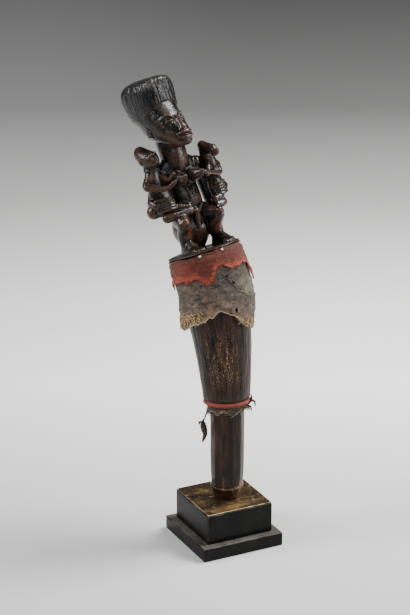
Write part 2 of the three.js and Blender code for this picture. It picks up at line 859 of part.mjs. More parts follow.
/** The child on the mother's right thigh, which sits with its legs folded and reaches for her breast. */
const RIGHT_CHILD = {
  trunk: [
    { z: 43, x: -30, y: 4, a: 7, b: 6 },
    { z: 49, x: -27, y: 3.6, a: 12, b: 8.4 },
    { z: 60, x: -25.8, y: 2.6, a: 12.4, b: 7.8 },
    { z: 70, x: -27, y: 1.8, a: 11.6, b: 7.2 },
    { z: 78, x: -30, y: 0.8, a: 10, b: 6.8 },
    { z: 83, x: -29.4, y: 0.4, a: 9, b: 6.4 },
    { z: 87, x: -28.6, y: 0.5, a: 8, b: 6.2 },
    { z: 96, x: -28.4, y: 1.5, a: 7, b: 6.4 },
  ],
  chin: at(-28.7, 2, 90.6),
  headSize: [1, 1],
  headTurn: 10,
  seat: { place: at(-36.5, 7, 48.2), radius: 7.4 },
  limbs: [
    [
      [at(-35.4, 2.5, 79.4), 4],
      [at(-39.8, -0.5, 73), 4],
      [at(-23, -13, 67.6), 2.6],
      [at(-17.5, -17, 71), 2.3],
    ],
    [[at(-24.6, -2.5, 81), 3.8], [at(-19.5, -9.5, 74.5), 3], [at(-14, -12, 79), 2.2]],
    [[at(-36.3, 7, 48), 6.6], [at(-22, -4, 46), 6], [at(-7, -9.5, 43.2), 4.4]],
    [[at(-7, -10.5, 39.8), 4.2], [at(-27, -9, 39), 4.4], [at(-31.5, -6, 39), 5]],
  ],
};

/** The child on the mother's left thigh, which kneels, looks out over her knee and holds her breast. */
const LEFT_CHILD = {
  trunk: [
    { z: 43, x: 33, y: -2, a: 6.4, b: 6 },
    { z: 48, x: 33, y: -3, a: 7.8, b: 7.4 },
    { z: 56, x: 32, y: -4.4, a: 8.2, b: 6.8 },
    { z: 64, x: 32.2, y: -5.6, a: 8, b: 6.2 },
    { z: 71, x: 32.8, y: -6.6, a: 8.4, b: 6.2 },
    { z: 76, x: 32.4, y: -7.4, a: 7.8, b: 6 },
    { z: 79.5, x: 32, y: -7.6, a: 6.4, b: 5.8 },
    { z: 87, x: 32, y: -7.4, a: 5.8, b: 5.8 },
  ],
  chin: at(35.4, -6.5, 82.2),
  headSize: [0.77, 0.82],
  headTurn: 26,
  seat: { place: at(33.6, 0.6, 47.6), radius: 7 },
  limbs: [
    [[at(39, -7, 75), 3.8], [at(37, -10.5, 66), 3.4], [at(26, -17, 68), 2.5], [at(14, -24, 71.5), 2.2]],
    [[at(27.5, -9, 75), 3.6], [at(22, -15.5, 69), 2.8], [at(17, -21, 68), 2.2]],
    [[at(33, -1, 48.5), 7.2], [at(30, -10, 43.4), 4.6], [at(22.4, -12.5, 42.6), 4.2]],
    [[at(33, -3, 40), 5], [at(31, -11.5, 36.6), 3.8], [at(22.4, -13.4, 36.2), 3.5]],
  ],
};

/** The whole carving as one solid. */
function carving() {
  const crown = [motherHead(), coiffure()].flat(Infinity);
  for (const g of crown) g.rotateZ(rad(HEAD.turn)).translate(0, 0, HEAD.foot);
  const bodies = [disc(), stool(), legs(), trunk(), crown];
  bodies.push(arm(RIGHT_ARM), arm(LEFT_ARM), child(RIGHT_CHILD), child(LEFT_CHILD));
  const whole = fuse(bodies).trimByPlane([0, 0, 1], -FIGURE.discHeight).simplify(0.25);
  // The outer skin alone: any hollow that the forms close in between them is filled.
  return whole.decompose().reduce((a, b) => (a.volume() > b.volume() ? a : b));
}

// Assembly
const wand = new THREE.Group();

/** Adds a piece that is made in the part's own frame. */
function add(name, geometry, material, height = 0) {
  const mesh = meshOf(name, geometry instanceof wasm.Manifold ? geometry : solid(geometry), material);
  mesh.position.z = height;
  wand.add(mesh);
}

add("plinth_slab", board(SLAB), MATERIALS.plinth);
add("plinth_block", board(BLOCK), MATERIALS.plinth, BLOCK_BOTTOM);
add("plinth_top_plate", board(PLATE), MATERIALS.plate, PLATE_BOTTOM);
add("grip", grip(), MATERIALS.grip);
add("horn", horn(), MATERIALS.horn);
add("hide_cuff", hideCuff(), MATERIALS.hide);
add("cloth_band", clothBand(), MATERIALS.cloth);
add("cloth_ring", clothRing(), MATERIALS.cloth);
add("hide_shreds", hideShreds(), MATERIALS.hide);
NAILS.forEach((place, i) => add(`nail_${i + 1}`, nail(place), MATERIALS.nail));

const top = axisFrame(0);
const carvingFrame = new THREE.Group();
carvingFrame.quaternion.setFromRotationMatrix(new THREE.Matrix4().makeBasis(top.x, top.y, top.z));
carvingFrame.position.copy(top.origin);
const figure = meshOf("mother_and_children", carving(), MATERIALS.carving);
figure.rotation.z = rad(FIGURE.turn);
carvingFrame.add(figure);
wand.add(carvingFrame);

export default wand;
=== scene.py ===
"""A dance wand: a carved mother with two children, on a horn wrapped in torn cloth and hide, on a plinth.

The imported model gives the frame. Each sub-assembly is a class that holds its sizes in millimetres, builds its
meshes in place along the wand's bowed axis, and dresses them with procedural finishes.
"""

from __future__ import annotations

import logging
import math
from dataclasses import dataclass, field
from enum import Enum
from typing import Callable, Iterable, Sequence

import bmesh
import bpy
import numpy as np
from mathutils import Matrix, Vector, noise


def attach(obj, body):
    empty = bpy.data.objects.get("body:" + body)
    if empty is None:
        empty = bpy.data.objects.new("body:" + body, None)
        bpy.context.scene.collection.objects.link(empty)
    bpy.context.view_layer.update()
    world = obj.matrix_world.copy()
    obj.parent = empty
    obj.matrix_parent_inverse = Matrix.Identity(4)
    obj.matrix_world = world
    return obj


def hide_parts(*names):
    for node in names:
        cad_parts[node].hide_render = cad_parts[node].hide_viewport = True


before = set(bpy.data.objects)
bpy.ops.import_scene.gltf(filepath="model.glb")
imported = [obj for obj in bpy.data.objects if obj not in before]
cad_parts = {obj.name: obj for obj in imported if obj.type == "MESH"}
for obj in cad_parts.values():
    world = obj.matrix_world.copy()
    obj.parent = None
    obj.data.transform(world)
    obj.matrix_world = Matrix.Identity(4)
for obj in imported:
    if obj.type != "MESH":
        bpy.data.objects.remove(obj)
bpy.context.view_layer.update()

log = logging.getLogger("dance_wand")

MM = 0.001
GAP = 0.3
BODY = "root"
AXIS_STEPS = 401
RINGS_PER_GAP = 4
THINNEST = 0.05
TINY = 1e-9

Place = tuple[float, float, float]
Knots = Sequence[tuple[float, float]]
Joint = tuple[Place, float]
Inputs = dict[str | int, object]
Move = Callable[[np.ndarray], np.ndarray]


class Side(Enum):
    """The mother's own left or right."""

    LEFT = 1
    RIGHT = -1


class Hold(Enum):
    """How a sheet is held."""

    STRETCHED = "stretched"
    GATHERED = "gathered"
    FOLDED = "folded"


# Small numeric helpers


def between(knots: Knots, x: np.ndarray | float) -> np.ndarray:
    """Reads a table of (x, value) knots on the straight lines between them.

    Args:
        knots: The table, in order of x.
        x: Where to read it.

    Returns:
        The values, level beyond both ends.
    """
    table = np.asarray(knots, float)
    return np.interp(x, table[:, 0], table[:, 1])


def smoothstep(x: np.ndarray | float, low: float, high: float) -> np.ndarray:
    """Runs smoothly from 0 at low to 1 at high."""
    t = np.clip((np.asarray(x, float) - low) / (high - low), 0, 1)
    return t * t * (3 - 2 * t)


def bump_between(x: np.ndarray | float, low: float, high: float, soft: float) -> np.ndarray:
    """Is 1 from low to high and falls to 0 over soft on either side."""
    return smoothstep(x, low - soft, low + soft) * (1 - smoothstep(x, high - soft, high + soft))


def from_middle(points: np.ndarray) -> np.ndarray:
    """Gives the distance of points from the Z axis."""
    return np.hypot(points[:, 0], points[:, 1])


def standing(origin: Vector, x: Vector, y: Vector, z: Vector) -> Matrix:
    """Gives the frame with an origin and three directions."""
    return Matrix.Translation(origin) @ Matrix((x, y, z)).transposed().to_4x4()


def wander(points: np.ndarray, pitch: float, octaves: int = 1, seed: float = 0.0) -> np.ndarray:
    """Smooth noise from -1 to 1 at points.

    Args:
        points: An array of places, one row each.
        pitch: The noise's wavelength, in the units of the points.
        octaves: How many finer layers it sums.
        seed: A shift that gives another noise.

    Returns:
        One value for each point.
    """
    shift = Vector((seed * 17.3, seed * -9.1, seed * 5.7))
    total = np.zeros(len(points))
    weight = 1.0
    for octave in range(octaves):
        step = 2**octave / pitch
        total += weight * np.array([noise.noise(Vector(p) * step + shift) for p in points])
        weight *= 0.5
    return total


def smooth_table(knots: np.ndarray, per_step: int) -> np.ndarray:
    """Adds rows between the rows of a table, on smooth curves through them.

    Args:
        knots: An array with one row for each knot.
        per_step: How many steps each gap is cut into.

    Returns:
        The longer table, from the first knot to the last.
    """
    rows = np.vstack([2 * knots[0] - knots[1], knots, 2 * knots[-1] - knots[-2]])
    out = []
    for i in range(1, len(rows) - 2):
        p0, p1, p2, p3 = rows[i - 1 : i + 3]
        for t in np.arange(per_step) / per_step:
            a = 2 * p1 + (p2 - p0) * t
            b = (2 * p0 - 5 * p1 + 4 * p2 - p3) * t**2
            c = (3 * p1 - p0 - 3 * p2 + p3) * t**3
            out.append((a + b + c) / 2)
    out.append(knots[-1])
    return np.array(out)


@dataclass(frozen=True)
class BowedAxis:
    """The wand's middle line: straight in the grip, bowed back in the horn, straight in the disc."""

    foot: float = 46.3
    bend_start: Place = (2.9, -1.3, 80.0)
    rise: float = 57.0
    disc_top: Place = (-2.8, 41.2, 296.7)
    lean: Place = (-0.153, 0.358, 0.921)
    reach: float = 86.0
    straight_top: float = 8.3
    raised: float = 3.8
    raised_from: float = 130.0
    raised_to: float = 195.0
    raised_ease: float = 20.0

    def _curve(self) -> np.ndarray:
        """Gives the four handles of the bowed part.

        Returns:
            One row for each handle.
        """
        lean = np.array(self.lean) / np.linalg.norm(self.lean)
        start, top = np.array(self.bend_start), np.array(self.disc_top)
        upper = [top - down * lean for down in (self.reach, self.straight_top)]
        return np.array([start, start + (0, 0, self.rise), *upper])

    def _run(self) -> tuple[np.ndarray, np.ndarray]:
        """Gives steps along the bowed part, from 0 to 1, and the length up to each.

        Returns:
            The steps, and one length for each.
        """
        t = np.linspace(0, 1, AXIS_STEPS)
        places, _ = self._on_curve(self._curve(), t)
        return t, np.concatenate([[0], np.cumsum(np.linalg.norm(np.diff(places, axis=0), axis=1))])

    @staticmethod
    def _on_curve(handles: np.ndarray, t: np.ndarray) -> tuple[np.ndarray, np.ndarray]:
        """Gives places and unit directions on a cubic curve.

        Args:
            handles: The curve's four handles.
            t: Where to read it, from 0 to 1.

        Returns:
            The places and the directions, one row each.
        """
        t = t[:, None]
        s = 1 - t
        p0, p1, p2, p3 = handles
        place = s**3 * p0 + 3 * s**2 * t * p1 + 3 * s * t**2 * p2 + t**3 * p3
        way = 3 * s**2 * (p1 - p0) + 6 * s * t * (p2 - p1) + 3 * t**2 * (p3 - p2)
        return place, way / np.linalg.norm(way, axis=1, keepdims=True)

    def length(self) -> float:
        """Gives the axis's length from its foot to the top of the disc."""
        return self.bend_start[2] - self.foot + self._run()[1][-1] + self.straight_top

    def frames(self, below: np.ndarray) -> tuple[np.ndarray, np.ndarray, np.ndarray, np.ndarray]:
        """Gives the axis's frames.

        Args:
            below: Lengths measured down from the top of the disc.

        Returns:
            The origins and the X, Y and Z directions, one row each.
        """
        t, run = self._run()
        straight = self.bend_start[2] - self.foot
        up = self.length() - np.atleast_1d(below)
        along = np.clip(up - straight, 0, run[-1])
        origin, z = self._on_curve(self._curve(), np.interp(along, run, t))
        origin = origin + z * (up - straight - along)[:, None]
        x = np.array([1.0, 0, 0]) - z * z[:, :1]
        x /= np.linalg.norm(x, axis=1, keepdims=True)
        return origin, x, np.cross(z, x), z

    def bend(self, points: np.ndarray) -> np.ndarray:
        """Bends points made straight about Z, with height 0 at the disc's top, along the axis.

        Where the horn, the roll and the grip meet, they sit a little higher than in the plain solids.

        Args:
            points: The points, one row each.

        Returns:
            Their places on the bowed wand.
        """
        below = -points[:, 2]
        higher = self.raised * bump_between(below, self.raised_from, self.raised_to, self.raised_ease)
        origin, x, y, _ = self.frames(below - higher)
        return origin + x * points[:, :1] + y * points[:, 1:2]

    def top_frame(self, turn: float) -> Matrix:
        """Gives the frame of the disc's top, turned by some degrees about the axis."""
        spin = Matrix.Rotation(math.radians(turn), 4, "Z")
        return standing(*(v[0] for v in self.frames(np.array([0.0])))) @ spin


AXIS = BowedAxis()

# Meshes


class Shape:
    """A mesh in the making, in millimetres."""

    def __init__(self) -> None:
        """Starts with nothing."""
        self.bm = bmesh.new()

    @classmethod
    def turned(cls, profile: Knots, steps: int) -> "Shape":
        """Spins a profile about Z.

        Args:
            profile: (radius, height) points, from the axis up and back to it, or a closed ring of them.
            steps: How many sides the form has.

        Returns:
            The closed form, facing out.
        """
        shape = cls()
        bm = shape.bm
        verts = [bm.verts.new((float(r), 0, float(z))) for r, z in profile]
        edges = [bm.edges.new(pair) for pair in zip(verts, verts[1:])]
        if profile[0][0] > 0:
            edges.append(bm.edges.new((verts[-1], verts[0])))
        bmesh.ops.spin(
            bm, geom=verts + edges, axis=(0, 0, 1), cent=(0, 0, 0), angle=2 * math.pi, steps=steps,
            use_merge=True,
        )
        return shape.weld()

    @classmethod
    def ball(cls, centre: Place, radii: float | Place, detail: int = 3) -> "Shape":
        """Makes an ellipsoid.

        Args:
            centre: Its middle.
            radii: Its radius, or its half sizes along X, Y and Z.
            detail: How finely it is cut.

        Returns:
            The ellipsoid.
        """
        shape = cls()
        sizes = (radii,) * 3 if isinstance(radii, (int, float)) else radii
        place = Matrix.Translation(centre) @ Matrix.Diagonal((*sizes, 1))
        bmesh.ops.create_icosphere(shape.bm, subdivisions=detail, radius=1, matrix=place)
        return shape

    @classmethod
    def stack(cls, rows: Sequence[Sequence[float]], steps: int = 40) -> "Shape":
        """Builds a body from level sections.

        Args:
            rows: (height, x, y, half size in x, half size in y, squareness) of each section, from the
                bottom up, where a squareness of 2 is an ellipse.
            steps: How many sides it has.

        Returns:
            The closed body.
        """
        table = smooth_table(np.array(rows, float), RINGS_PER_GAP)
        table[:, 3:5] = np.maximum(table[:, 3:5], THINNEST)
        last = len(table) - 1
        shape = cls.turned([(0, 0), *((1, i) for i in range(last + 1)), (0, last)], steps)

        def place(p: np.ndarray) -> np.ndarray:
            """Puts the corners of each ring on their section.

            Args:
                p: The corners of the round rings.

            Returns:
                Their places.
            """
            row = table[np.clip(np.round(p[:, 2]).astype(int), 0, last)]
            reach = from_middle(p)
            c, d = p[:, :2].T / np.maximum(reach, TINY)
            r = reach / (np.abs(c) ** row[:, 5] + np.abs(d) ** row[:, 5] + (reach < 1e-6)) ** (1 / row[:, 5])
            return np.column_stack([row[:, 1] + row[:, 3] * c * r, row[:, 2] + row[:, 4] * d * r, row[:, 0]])

        return shape.warp(place)

    @classmethod
    def limb(
        cls, joints: Sequence[Joint], steps: int = 20, flat: float = 1.0, per_step: int = 5, cap: int = 4
    ) -> "Shape":
        """Sweeps a round limb through joints, with rounded ends.

        Args:
            joints: The place and radius at each joint.
            steps: How many sides it has.
            flat: Its thickness across, as a share of its width.
            per_step: How many rings each gap gets.
            cap: How many rings round each end.

        Returns:
            The closed limb.
        """
        knots = np.array([(*place, radius) for place, radius in joints], float)
        table = smooth_table(knots, per_step)
        ways = np.gradient(table[:, :3], axis=0)
        ways /= np.maximum(np.linalg.norm(ways, axis=1, keepdims=True), TINY)
        caps = [(math.cos(a), math.sin(a)) for a in np.linspace(0, math.pi / 2, cap + 1)[1:]]
        first, last = table[0], table[-1]
        rings = [(first[:3] - ways[0] * first[3] * s, first[3] * c, ways[0]) for c, s in reversed(caps)]
        rings += [(row[:3], row[3], way) for row, way in zip(table, ways)]
        rings += [(last[:3] + ways[-1] * last[3] * s, last[3] * c, ways[-1]) for c, s in caps]
        turn = Vector((0, 0, 1)).rotation_difference(Vector(rings[0][2]))
        frames = []
        for (centre, radius, way), before in zip(rings, [rings[0], *rings]):
            turn = Vector(before[2]).rotation_difference(Vector(way)) @ turn
            frames.append((centre, max(radius, 0.02), np.array(turn.to_matrix())))
        count = len(frames) - 1
        shape = cls.turned([(0, 0), *((1, i) for i in range(count + 1)), (0, count)], steps)

        def place(p: np.ndarray) -> np.ndarray:
            """Puts the corners of each ring square to the path.

            Args:
                p: The corners of the round rings.

            Returns:
                Their places.
            """
            rows = np.clip(np.round(p[:, 2]).astype(int), 0, count)
            centres, radii, turns = (np.array(values)[rows] for values in zip(*frames))
            local = np.column_stack([p[:, 0] * radii, p[:, 1] * radii * flat, np.zeros(len(p))])
            return centres + np.einsum("nij,nj->ni", turns, local)

        return shape.warp(place)

    @classmethod
    def sheet(cls, columns: int, rows: int) -> "Shape":
        """Makes a flat grid from 0 to 1 in X and Y, with its UV map.

        Args:
            columns: How many faces it has along X.
            rows: How many along Y.

        Returns:
            The grid.
        """
        shape = cls()
        middle = Matrix.Translation((0.5, 0.5, 0))
        bmesh.ops.create_grid(
            shape.bm, x_segments=columns, y_segments=rows, size=0.5, matrix=middle, calc_uvs=True
        )
        return shape

    def weld(self, distance: float = 1e-4) -> "Shape":
        """Merges corners that meet, and turns the faces out.

        Args:
            distance: How near corners have to be.

        Returns:
            This form.
        """
        bmesh.ops.remove_doubles(self.bm, verts=self.bm.verts, dist=distance)
        bmesh.ops.recalc_face_normals(self.bm, faces=self.bm.faces)
        return self

    def points(self) -> np.ndarray:
        """Gives the corners' places."""
        return np.array([v.co[:] for v in self.bm.verts])

    def warp(self, move: Move) -> "Shape":
        """Moves every corner by a function of all their places, then turns the faces out.

        Args:
            move: The function.

        Returns:
            This form.
        """
        for vert, co in zip(self.bm.verts, move(self.points())):
            vert.co = co
        if any(e.is_boundary for e in self.bm.edges):
            return self
        bmesh.ops.recalc_face_normals(self.bm, faces=self.bm.faces)
        return self

    def placed(self, matrix: Matrix) -> "Shape":
        """Moves the whole form by a matrix."""
        bmesh.ops.transform(self.bm, matrix=matrix, verts=self.bm.verts)
        return self

    def absorb(self, others: Iterable["Shape"]) -> "Shape":
        """Takes other forms into this mesh, without joining their surfaces.

        Args:
            others: The forms, which are used up.

        Returns:
            This form.
        """
        for other in others:
            mesh = other.mesh("part")
            self.bm.from_mesh(mesh)
            bpy.data.meshes.remove(mesh)
        return self

    def mesh(self, name: str) -> bpy.types.Mesh:
        """Writes the form out as mesh data and frees it.

        Args:
            name: The mesh's name.

        Returns:
            The mesh.
        """
        mesh = bpy.data.meshes.new(name)
        self.bm.to_mesh(mesh)
        self.bm.free()
        return mesh


@dataclass
class Skin:
    """A finished mesh's corners as arrays, in millimetres, for fine carving and for painting masks."""

    mesh: bpy.types.Mesh
    points: np.ndarray = field(init=False)
    normals: np.ndarray = field(init=False)
    edges: np.ndarray = field(init=False)

    def __post_init__(self) -> None:
        """Reads the mesh."""
        count = len(self.mesh.vertices)
        self.points = np.empty(count * 3)
        self.mesh.vertices.foreach_get("co", self.points)
        self.points = self.points.reshape(-1, 3)
        edges = np.empty(len(self.mesh.edges) * 2, int)
        self.mesh.edges.foreach_get("vertices", edges)
        self.edges = edges.reshape(-1, 2)
        self.refresh()

    def refresh(self) -> None:
        """Writes the corners back, and reads the normals again."""
        self.mesh.vertices.foreach_set("co", self.points.ravel())
        self.mesh.update()
        normals = np.empty(len(self.points) * 3, np.float32)
        self.mesh.vertex_normals.foreach_get("vector", normals)
        self.normals = normals.reshape(-1, 3).astype(float)

    def blurred(self, values: np.ndarray, rounds: int, share: float = 1.0) -> np.ndarray:
        """Blurs values over the surface.

        Args:
            values: One number or one row for each corner.
            rounds: How often each corner moves towards its neighbours' mean.
            share: How far it moves each time.

        Returns:
            The blurred values.
        """
        a, b = self.edges.T
        count = np.maximum(np.bincount(a, minlength=len(values)) + np.bincount(b, minlength=len(values)), 1)
        out = np.atleast_2d(values.T).T.astype(float)
        for _ in range(rounds):
            mean = np.empty_like(out)
            for i in range(out.shape[1]):
                column = np.ascontiguousarray(out[:, i])
                total = np.bincount(a, column[b], len(column)) + np.bincount(b, column[a], len(column))
                mean[:, i] = total / count
            out += share * (mean - out)
        return out.reshape(values.shape)

    def smooth(self, rounds: int, share: float = 0.5) -> None:
        """Smooths the surface."""
        self.points = self.blurred(self.points, rounds, share)
        self.refresh()

    def push(self, amount: np.ndarray) -> None:
        """Moves each corner along its normal."""
        self.points = self.points + self.normals * amount[:, None]
        self.refresh()

    def relief(self, rounds: int) -> np.ndarray:
        """Gives how far each corner stands out of its surroundings: less than 0 in a hollow."""
        return ((self.points - self.blurred(self.points, rounds, 0.9)) * self.normals).sum(axis=1)

    def paint(self, name: str, values: np.ndarray) -> None:
        """Stores a mask on the mesh, from 0 to 1, for a finish to read."""
        layer = self.mesh.attributes.new(name, "FLOAT", "POINT")
        layer.data.foreach_set("value", np.clip(values, 0, 1).astype(np.float32))


def finished(obj: bpy.types.Object, *modifiers: tuple[str, dict[str, object]]) -> bpy.types.Object:
    """Applies modifiers to an object's mesh.

    Args:
        obj: The object.
        modifiers: The type and settings of each, in order.

    Returns:
        The same object, with no modifier left on it.
    """
    for kind, settings in modifiers:
        modifier = obj.modifiers.new(kind.title(), kind)
        for key, value in settings.items():
            setattr(modifier, key, value)
    graph = bpy.context.evaluated_depsgraph_get()
    whole = obj.evaluated_get(graph)
    mesh = bpy.data.meshes.new_from_object(whole, preserve_all_data_layers=True, depsgraph=graph)
    obj.modifiers.clear()
    before = obj.data
    obj.data = mesh
    mesh.name = before.name
    bpy.data.meshes.remove(before)
    return obj


def triangles(obj: bpy.types.Object) -> int:
    """Counts an object's triangles."""
    return sum(len(p.vertices) - 2 for p in obj.data.polygons)


def linked(name: str, mesh: bpy.types.Mesh) -> bpy.types.Object:
    """Puts a mesh in the scene as an object.

    Args:
        name: The object's name.
        mesh: Its mesh.

    Returns:
        The object.
    """
    mesh.name = name
    obj = bpy.data.objects.new(name, mesh)
    bpy.context.scene.collection.objects.link(obj)
    return obj


def piece(
    obj: bpy.types.Object, material: bpy.types.Material, slot: str, *replaces: str
) -> bpy.types.Object:
    """Hands a finished object to the frame.

    Args:
        obj: The object, its mesh in millimetres.
        material: Its finish.
        slot: The record's slot that the finish belongs to.
        replaces: The CAD nodes that it stands for.

    Returns:
        The object, riding on the wand.
    """
    obj.data.transform(Matrix.Scale(MM, 4))
    obj.data.materials.clear()
    obj.data.materials.append(material)
    obj.data.polygons.foreach_set("use_smooth", [True] * len(obj.data.polygons))
    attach(obj, BODY)
    if replaces:
        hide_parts(*replaces)
    log.info("%s: %d triangles", obj.name, triangles(obj))
    return obj


# Shader graphs

Colour = tuple[float, float, float, float]


def tone(red: float, green: float, blue: float) -> Colour:
    """Turns a colour as a screen shows it, 0 to 255, into linear light."""
    channels = (c / 255 for c in (red, green, blue))
    return (*(c / 12.92 if c <= 0.04045 else ((c + 0.055) / 1.055) ** 2.4 for c in channels), 1.0)


class Sock:
    """A number that varies over a surface, on which arithmetic adds Math nodes."""

    def __init__(self, graph: "Graph", socket: bpy.types.NodeSocket) -> None:
        """Wraps an output socket of a graph."""
        self.graph = graph
        self.socket = socket

    def _math(self, operation: str, *values: object) -> "Sock":
        """Adds one Math node."""
        return self.graph.node("ShaderNodeMath", {"operation": operation}, dict(enumerate(values)))

    def __add__(self, other: object) -> "Sock":
        """Adds."""
        return self._math("ADD", self, other)

    def __sub__(self, other: object) -> "Sock":
        """Subtracts."""
        return self._math("SUBTRACT", self, other)

    def __rsub__(self, other: object) -> "Sock":
        """Subtracts from a number."""
        return self._math("SUBTRACT", other, self)

    def __mul__(self, other: object) -> "Sock":
        """Multiplies."""
        return self._math("MULTIPLY", self, other)

    __radd__ = __add__
    __rmul__ = __mul__

    def sine(self) -> "Sock":
        """Takes the sine."""
        return self._math("SINE", self)

    def angle_to(self, other: "Sock") -> "Sock":
        """Gives the angle of the direction (other, self)."""
        return self._math("ARCTAN2", self, other)

    def rise(self, low: float, high: float) -> "Sock":
        """Runs smoothly from 0 at low to 1 at high."""
        inputs = {"Value": self, "From Min": low, "From Max": high}
        return self.graph.node("ShaderNodeMapRange", {"interpolation_type": "SMOOTHSTEP"}, inputs)


Reliefs = Sequence[tuple[Sock, float]]


class Graph:
    """A material's node graph in the making, with lengths in millimetres."""

    def __init__(self, name: str) -> None:
        """Starts a material with only its output.

        Args:
            name: The material's name.
        """
        self.material = bpy.data.materials.new(name)
        self.material.use_nodes = True
        self.tree = self.material.node_tree
        self.tree.nodes.clear()

    def node(self, kind: str, settings: dict[str, object], inputs: Inputs, output: str | int = 0) -> Sock:
        """Adds any node.

        Args:
            kind: The node's type.
            settings: Its settings, which are set first. A ramp's stops go under "stops".
            inputs: The values or links of its sockets, by name or place.
            output: The socket to go on from.

        Returns:
            That output.
        """
        node = self.tree.nodes.new(kind)
        for key, value in settings.items():
            if key == "stops":
                self._set_stops(node.color_ramp, value)
            else:
                setattr(node, key, value)
        for key, value in inputs.items():
            socket = node.inputs[key]
            if isinstance(value, Sock):
                self.tree.links.new(value.socket, socket)
            else:
                socket.default_value = value
        return Sock(self, node.outputs[output])

    @staticmethod
    def _set_stops(ramp: bpy.types.ColorRamp, stops: Sequence[tuple[float, Colour]]) -> None:
        """Gives a colour ramp its stops.

        Args:
            ramp: The ramp.
            stops: The place and colour of each stop.
        """
        while len(ramp.elements) < len(stops):
            ramp.elements.new(1.0)
        for element, (place, colour) in zip(ramp.elements, stops):
            element.position = place
            element.color = colour

    def place(self) -> Sock:
        """Gives the surface's own place, in millimetres."""
        coordinates = self.node("ShaderNodeTexCoord", {}, {}, "Object")
        return self.stretched(coordinates, (1000, 1000, 1000))

    def straight(self) -> Sock:
        """Gives the place that a bent piece's surface had before it was bent, in millimetres."""
        return self.node("ShaderNodeAttribute", {"attribute_name": "straight"}, {}, "Vector")

    def mask(self, name: str) -> Sock:
        """Reads a mask that was painted on the mesh."""
        return self.node("ShaderNodeAttribute", {"attribute_name": name}, {}, "Fac")

    def stretched(self, vector: Sock, scale: Place) -> Sock:
        """Scales a vector along its axes."""
        return self.node("ShaderNodeVectorMath", {"operation": "MULTIPLY"}, {0: vector, 1: scale})

    def parts(self, vector: Sock) -> tuple[Sock, Sock, Sock]:
        """Splits a vector."""
        split = self.node("ShaderNodeSeparateXYZ", {}, {"Vector": vector}).socket.node
        return tuple(Sock(self, out) for out in split.outputs)

    def noise(self, vector: Sock, pitch: float, detail: float = 2.0, twist: float = 0.0) -> Sock:
        """Adds soft noise around 0.5 whose blobs are about pitch wide."""
        inputs = {"Vector": vector, "Scale": 1 / pitch, "Detail": detail, "Distortion": twist}
        return self.node("ShaderNodeTexNoise", {}, inputs)

    def cells(self, vector: Sock, pitch: float) -> Sock:
        """Gives the distance from the nearest of some scattered points, which lie about pitch apart."""
        return self.node("ShaderNodeTexVoronoi", {}, {"Vector": vector, "Scale": 1 / pitch}, "Distance")

    def mix(self, share: Sock | float, low: Sock | Colour, high: Sock | Colour) -> Sock:
        """Mixes two colours."""
        mixed = self.node("ShaderNodeMix", {"data_type": "RGBA"}, {0: share, 6: low, 7: high}).socket.node
        return Sock(self, mixed.outputs[2])

    def ramp(self, share: Sock, stops: Sequence[tuple[float, Colour]]) -> Sock:
        """Reads a colour off a ramp."""
        return self.node("ShaderNodeValToRGB", {"stops": stops}, {"Fac": share})

    def surface(self, colour: Sock, rough: Sock, reliefs: Reliefs, more: Inputs) -> bpy.types.Material:
        """Ends the graph in a shader.

        Args:
            colour: The base colour.
            rough: The roughness.
            reliefs: The height, from 0 to 1, and the depth of each relief, from the lowest up.
            more: The shader's other sockets.

        Returns:
            The material.
        """
        under: Inputs = {}
        for height, depth in reliefs:
            inputs = {"Height": height, "Distance": depth * MM, "Strength": 1.0, **under}
            under = {"Normal": self.node("ShaderNodeBump", {}, inputs)}
        inputs = {"Base Color": colour, "Roughness": rough, **under, **more}
        shader = self.node("ShaderNodeBsdfPrincipled", {}, inputs)
        output = self.tree.nodes.new("ShaderNodeOutputMaterial")
        self.tree.links.new(shader.socket, output.inputs["Surface"])
        return self.material


# Finishes


@dataclass(frozen=True)
class CarvedWood:
    """Nearly black, oiled wood: brown where hands have worn it, greyer in its hollows and its hair."""

    deep: Colour = tone(10, 7, 5)
    rubbed: Colour = tone(50, 32, 23)
    bare: Colour = tone(80, 43, 30)
    dust: Colour = tone(58, 47, 38)
    hair: Colour = tone(7, 7, 7)
    hair_worn: Colour = tone(64, 61, 58)

    def material(self) -> bpy.types.Material:
        """Builds the finish, which reads the masks wear, dust, hair and bare.

        Returns:
            The material.
        """
        g = Graph("carved_dark_wood")
        place = g.place()
        wear = g.mask("wear")
        patches = g.noise(place, 15, 4, 0.8)
        grain = g.noise(g.stretched(place, (1, 1, 0.14)), 1.1, 4)
        specks = g.noise(place, 0.75, 3)
        worn = (wear + (patches - 0.5) * 1.3 + (grain - 0.5) * 0.7).rise(0.35, 1.15)
        bare = (g.mask("bare") + (patches - 0.5) * 1.1 + (grain - 0.5) * 0.8).rise(0.5, 1.05)
        wood = g.mix(worn, self.deep, self.rubbed)
        wood = g.mix(bare, wood, self.bare)
        strands = (wear * 0.9 + (specks - 0.5) * 2.0 + (patches - 0.5) * 1.6).rise(0.45, 1.5)
        hair = g.mix(strands, self.hair, self.hair_worn)
        colour = g.mix(g.mask("hair"), wood, hair)
        dusty = (g.mask("dust") * 1.1 + (specks - 0.5) * 1.0 + (patches - 0.5) * 0.9).rise(0.45, 1.25)
        colour = g.mix(dusty * 0.65, colour, self.dust)
        rough = 0.2 + 0.34 * dusty + 0.22 * (patches - 0.5) + 0.26 * (grain - 0.5) + 0.07 * g.mask("hair")
        reliefs = [(specks, 0.16), (grain, 0.14), (g.noise(place, 3.2, 3), 0.55)]
        oil = {"Coat Weight": 0.06 * (1 - dusty), "Coat Roughness": 0.16, "Specular IOR Level": 0.26}
        return g.surface(colour, rough, reliefs, oil)


